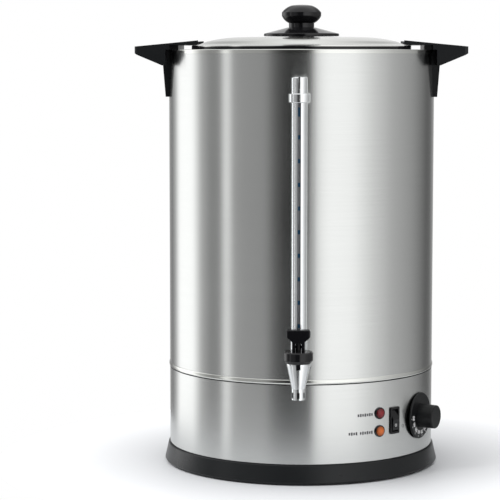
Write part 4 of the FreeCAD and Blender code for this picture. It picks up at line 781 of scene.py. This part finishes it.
class URN_OT_tap_trim(bpy.types.Operator):
    """Closes the upper part of the lever's neck and puts a dark tube of painted shade in the spout behind
    its windows
    """
    bl_idname = "urn.tap_trim"
    bl_label = "Tap trim"

    def execute(self, context):
        low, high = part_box("tap_lever")
        middle = (low[1] + high[1]) / 2
        web = start("cube", "lever_web", size=1, location=(0, low[1] + WEB_BACK, low[2] + WEB_RISE),
                    scale=WEB_SIZE)
        settle(web)
        bevel = web.modifiers.new("Edge", "BEVEL")
        bevel.width = 0.5 * MM
        bevel.segments = 3
        finish(apply_modifiers(web), "lever", FINISH["glossy black"])
        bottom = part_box("tap_body")[0][2]
        # painted shade: a dark tube inside the spout, where there is only shade behind its windows
        inner, outer = SHADE_TUBE_RADII
        foot, top = (bottom + rise for rise in SHADE_TUBE_RISE)
        profile = [(inner, foot), (outer, foot), (outer, top), (inner, top)]
        shade_tube = lathe("spout_painted_shade", profile, segments=48)
        settle(shade_tube, Matrix.Translation((0, middle, 0)))
        finish(shade_tube, "urn", FINISH["painted shade"])
        outer, upper = RIM_RADII
        foot, top = (bottom + rise for rise in RIM_RISE)
        profile = [(RIM_BORE, foot), (outer, foot), (upper, top), (RIM_BORE, top)]
        rim = lathe("spout_rim", profile, segments=64)
        settle(rim, Matrix.Translation((0, middle, 0)))
        finish(rim, "urn", FINISH["bright plating"])
        return {"FINISHED"}


class URN_OT_level_marks(bpy.types.Operator):
    """Prints the level marks on the gauge glass"""
    bl_idname = "urn.level_marks"
    bl_label = "Level marks"

    def execute(self, context):
        sizes = context.scene.urn_sizes
        low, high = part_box("gauge_glass")
        middle = Vector(((low[0] + high[0]) / 2, (low[1] + high[1]) / 2, 0))
        radius = (high[0] - low[0]) / 2
        marks = []
        places = [(FIRST_MARK + MARK_PITCH * index, MARK_HEIGHT) for index in range(MARK_COUNT)]
        places.append(TOP_MARK)
        for index, (level, height) in enumerate(places):
            mark = printed_bar(f"mark_{index}", MARK_WIDTH, height, sizes.ink_thickness)
            bend_round(mark, radius)
            turned = Matrix.Translation(middle + Vector((0, -radius - sizes.ink_thickness / 2, level)))
            settle(mark, turned @ Matrix.Rotation(math.radians(90), 4, "X"))
            marks.append(mark)
        finish(joined("level_marks", marks), "urn", FINISH["gauge ink"])
        return {"FINISHED"}


class URN_OT_panel_marks(bpy.types.Operator):
    """Prints the plain signs beside the lamps and the switch"""
    bl_idname = "urn.panel_marks"
    bl_label = "Panel marks"

    def execute(self, context):
        ink = context.scene.urn_sizes.ink_thickness
        signs = []
        for words, level in SIGNS:
            sign = printed_text(f"sign_{words}", words, SIGN_HEIGHT, ink)
            place = wall(SIGN_AZIMUTH, level * MM, SHELL_RADIUS + ink / 2)
            signs.append(settle(bend_round(sign, SHELL_RADIUS), place))
        for name, level, bars in CAPTIONS:
            pieces = []
            for index, across in enumerate(bars):
                height = BAR_HEIGHTS[index % 2] * MM
                pieces.append(printed_bar(f"{name}_{index}", BAR_WIDTH, height, ink, (across * MM, 0)))
            sign = bend_round(joined(f"{name}_sign", pieces), SHELL_RADIUS)
            signs.append(settle(sign, wall(CAPTION_AZIMUTH, level * MM, SHELL_RADIUS + ink / 2)))
        finish(joined("panel_signs", signs), "urn", FINISH["dark ink"])
        return {"FINISHED"}


class URN_OT_rocker_marks(bpy.types.Operator):
    """Prints the off sign on the rocker"""
    bl_idname = "urn.rocker_marks"
    bl_label = "Rocker marks"

    def execute(self, context):
        ink = context.scene.urn_sizes.ink_thickness
        pivot, azimuth = joint_on_wall("rocker_flip")
        tilt = Matrix.Rotation(math.radians(ROCKER_TILT), 4, "X")
        fall = Matrix.Rotation(math.radians(ROCKER_FALL), 4, "X")
        face = Matrix.Translation((0, OFF_PLACE, OFF_REACH + ink / 2))
        mark = printed_text("rocker_marks", "O", OFF_HEIGHT, ink)
        settle(mark, wall(azimuth, pivot.z, pivot.to_2d().length) @ tilt @ face @ fall)
        finish(mark, "rocker", FINISH["white ink"])
        return {"FINISHED"}


class URN_OT_dial_marks(bpy.types.Operator):
    """Prints the numerals and ticks on the thermostat dial"""
    bl_idname = "urn.dial_marks"
    bl_label = "Dial marks"

    def execute(self, context):
        sizes = context.scene.urn_sizes
        ink = sizes.ink_thickness
        pivot, azimuth = joint_on_wall("dial_turn")
        face = wall(azimuth, pivot.z, SHELL_RADIUS + DIAL_FACE + ink / 2)
        marks = []
        for index, words in enumerate(DIAL_NUMERALS):
            turn = Matrix.Rotation(math.radians(FIRST_NUMERAL + NUMERAL_STEP * index), 4, "Z")
            numeral = printed_text(f"numeral_{words}", words, sizes.numeral_height, ink, bold=NUMERAL_WEIGHT)
            marks.append(settle(numeral, face @ turn @ Matrix.Translation((0, NUMERAL_REACH, 0))))
            tick = printed_bar(f"tick_{words}", 0.6 * MM, 2.0 * MM, ink)
            marks.append(settle(tick, face @ turn @ Matrix.Translation((0, TICK_REACH, 0))))
        finish(joined("dial_marks", marks), "dial", FINISH["white ink"])
        return {"FINISHED"}


# the floor's painted light, seen only by the camera: where it begins, measured from the urn's axis, so the
# floor nearer the urn keeps a painted shade, and its strength at the floor's edge
PAINTED_LIGHT_START = 0.17
PAINTED_LIGHT_LEVEL = 0.42
# the lighter ceiling: where it begins and where it is full, as a direction's height, and its level
CEILING_START = 0.45
CEILING_FULL = 0.85
CEILING_LEVEL = 1.15
# the large soft lamp, which no metal mirrors
LAMP_PLACE = (-2.2, -1.4, 2.6)
LAMP_TARGET = (0, 0, 0.2)
LAMP_SIZE = 1.6
LAMP_POWER = 60
# the studio's light: degrees from the front to the right, and its level there
WORLD_STOPS = (
    (-180, 0.95), (-166, 0.45), (-152, 0.20), (-140, 0.55), (-131, 1.55), (-107, 1.60),
    (-96, 0.55), (-84, 0.30), (-73, 0.32), (-68.5, 1.20), (-64.5, 1.20), (-60, 0.42),
    (-30, 0.38), (-22, 0.13), (-12, 0.03), (9, 0.03), (14, 1.20), (24, 1.45),
    (46, 1.38), (64, 0.95), (86, 0.60), (112, 0.42), (140, 0.14), (152, 0.18),
    (166, 0.45), (180, 0.95),
)


class URN_OT_stage(bpy.types.Operator):
    """Sets the floor, the studio light and the camera"""
    bl_idname = "urn.stage"
    bl_label = "Stage"

    def execute(self, context):
        stage = context.scene.urn_stage
        self.set_floor(stage)
        self.set_world(context.scene)
        self.set_lamp()
        self.set_camera(context.scene, stage)
        context.scene.view_settings.view_transform = "Standard"
        return {"FINISHED"}

    def set_floor(self, stage):
        floor = start("circle", "floor", vertices=96, radius=stage.floor_radius, fill_type="NGON")
        material, tree, shader = new_material("Pale floor", (0.72, 0.73, 0.75), 0.6)
        # painted light: the floor glows for the camera only, more the further it lies from the urn, so the
        # floor near the urn keeps a painted shade
        light = tree.nodes.new("ShaderNodeLightPath")
        glow = tree.nodes.new("ShaderNodeEmission")
        both = tree.nodes.new("ShaderNodeAddShader")
        place = tree.nodes.new("ShaderNodeTexCoord")
        reach = tree.nodes.new("ShaderNodeVectorMath")
        reach.operation = "LENGTH"
        tree.links.new(place.outputs["Object"], reach.inputs[0])
        painted_light_ramp = tree.nodes.new("ShaderNodeMapRange")
        painted_light_ramp.inputs["From Min"].default_value = PAINTED_LIGHT_START
        painted_light_ramp.inputs["From Max"].default_value = stage.floor_radius
        painted_light_ramp.inputs["To Max"].default_value = PAINTED_LIGHT_LEVEL
        tree.links.new(reach.outputs["Value"], painted_light_ramp.inputs["Value"])
        only = math_node(tree, "MULTIPLY", light.outputs["Is Camera Ray"], painted_light_ramp.outputs["Result"])
        tree.links.new(only, glow.inputs["Strength"])
        tree.links.new(shader.outputs[0], both.inputs[0])
        tree.links.new(glow.outputs[0], both.inputs[1])
        tree.links.new(both.outputs[0], tree.nodes["Material Output"].inputs["Surface"])
        floor.data.materials.append(material)

    def set_world(self, scene):
        world = bpy.data.worlds.new("Studio")
        world.use_nodes = True
        scene.world = world
        tree = world.node_tree
        place = tree.nodes.new("ShaderNodeTexCoord")
        apart = tree.nodes.new("ShaderNodeSeparateXYZ")
        tree.links.new(place.outputs["Generated"], apart.inputs[0])
        forward = math_node(tree, "MULTIPLY", apart.outputs[1], -1.0)
        turn = math_node(tree, "ARCTAN2", apart.outputs[0], forward)
        along = math_node(tree, "MULTIPLY_ADD", turn, 1 / (2 * math.pi), 0.5)
        ramp = tree.nodes.new("ShaderNodeValToRGB")
        tree.links.new(along, ramp.inputs[0])
        stops = ramp.color_ramp.elements
        while len(stops) > 1:
            stops.remove(stops[-1])
        for index, (azimuth, level) in enumerate(WORLD_STOPS):
            stop = stops[0] if index == 0 else stops.new((azimuth + 180) / 360)
            stop.position = (azimuth + 180) / 360
            stop.color = (level, level, level, 1)
        ceiling = tree.nodes.new("ShaderNodeMapRange")
        ceiling.interpolation_type = "SMOOTHSTEP"
        ceiling.inputs["From Min"].default_value = CEILING_START
        ceiling.inputs["From Max"].default_value = CEILING_FULL
        tree.links.new(apart.outputs[2], ceiling.inputs["Value"])
        blend = tree.nodes.new("ShaderNodeMix")
        blend.data_type = "RGBA"
        blend.inputs["B"].default_value = (CEILING_LEVEL, CEILING_LEVEL, CEILING_LEVEL, 1)
        tree.links.new(ceiling.outputs["Result"], blend.inputs["Factor"])
        tree.links.new(ramp.outputs["Color"], blend.inputs["A"])
        light = tree.nodes.new("ShaderNodeLightPath")
        seen = tree.nodes.new("ShaderNodeMix")
        seen.data_type = "RGBA"
        seen.inputs["B"].default_value = (1, 1, 1, 1)
        tree.links.new(light.outputs["Is Camera Ray"], seen.inputs["Factor"])
        tree.links.new(blend.outputs["Result"], seen.inputs["A"])
        tree.links.new(seen.outputs["Result"], tree.nodes["Background"].inputs["Color"])

    def set_lamp(self):
        deselect()
        bpy.ops.object.light_add(type="AREA", location=LAMP_PLACE)
        lamp = bpy.context.object
        lamp.name = "soft_lamp"
        lamp.data.shape = "DISK"
        lamp.data.size = LAMP_SIZE
        lamp.data.energy = LAMP_POWER
        aim = Vector(LAMP_TARGET) - lamp.location
        lamp.rotation_euler = aim.to_track_quat("-Z", "Y").to_euler()
        lamp.visible_glossy = False

    def set_camera(self, scene, stage):
        deselect()
        bpy.ops.object.camera_add()
        camera = bpy.context.object
        camera.name = "photo_camera"
        azimuth = math.radians(stage.camera_azimuth)
        camera.location = (math.sin(azimuth) * stage.camera_distance,
                           -math.cos(azimuth) * stage.camera_distance, stage.camera_height)
        camera.rotation_euler = (math.radians(90 - stage.camera_pitch), 0,
                                 azimuth + math.radians(stage.camera_turn))
        camera.data.lens = stage.camera_lens
        camera.data.sensor_width = 36
        camera.data.clip_start = 0.05
        camera.data.clip_end = 50
        scene.camera = camera


STEPS = (
    URN_OT_finishes, URN_OT_walls, URN_OT_mouldings, URN_OT_water_way, URN_OT_controls, URN_OT_inner_works,
    URN_OT_wool_wrap, URN_OT_valve_spring, URN_OT_beads, URN_OT_tap_trim, URN_OT_level_marks,
    URN_OT_panel_marks, URN_OT_rocker_marks, URN_OT_dial_marks, URN_OT_stage,
)


class URN_PT_steps(bpy.types.Panel):
    """Lists the urn's steps and settings"""
    bl_label = "Hot water urn"
    bl_idname = "URN_PT_steps"
    bl_space_type = "VIEW_3D"
    bl_region_type = "UI"
    bl_category = "Urn"

    def draw(self, context):
        for step in STEPS:
            self.layout.operator(step.bl_idname)
        for settings in (context.scene.urn_colours, context.scene.urn_sizes, context.scene.urn_stage):
            for name in settings.bl_rna.properties.keys():
                if name not in ("rna_type", "name"):
                    self.layout.prop(settings, name)


SETTINGS = (("urn_colours", UrnColours), ("urn_sizes", UrnSizes), ("urn_stage", UrnStage))


def register():
    for name, group in SETTINGS:
        bpy.utils.register_class(group)
        setattr(bpy.types.Scene, name, bpy.props.PointerProperty(type=group))
    for step in STEPS:
        bpy.utils.register_class(step)
    bpy.utils.register_class(URN_PT_steps)


def unregister():
    bpy.utils.unregister_class(URN_PT_steps)
    for step in reversed(STEPS):
        bpy.utils.unregister_class(step)
    for name, group in reversed(SETTINGS):
        delattr(bpy.types.Scene, name)
        bpy.utils.unregister_class(group)


def main():
    register()
    for step in STEPS:
        area, name = step.bl_idname.split(".")
        getattr(getattr(bpy.ops, area), name)()


if __name__ == "__main__":
    main()
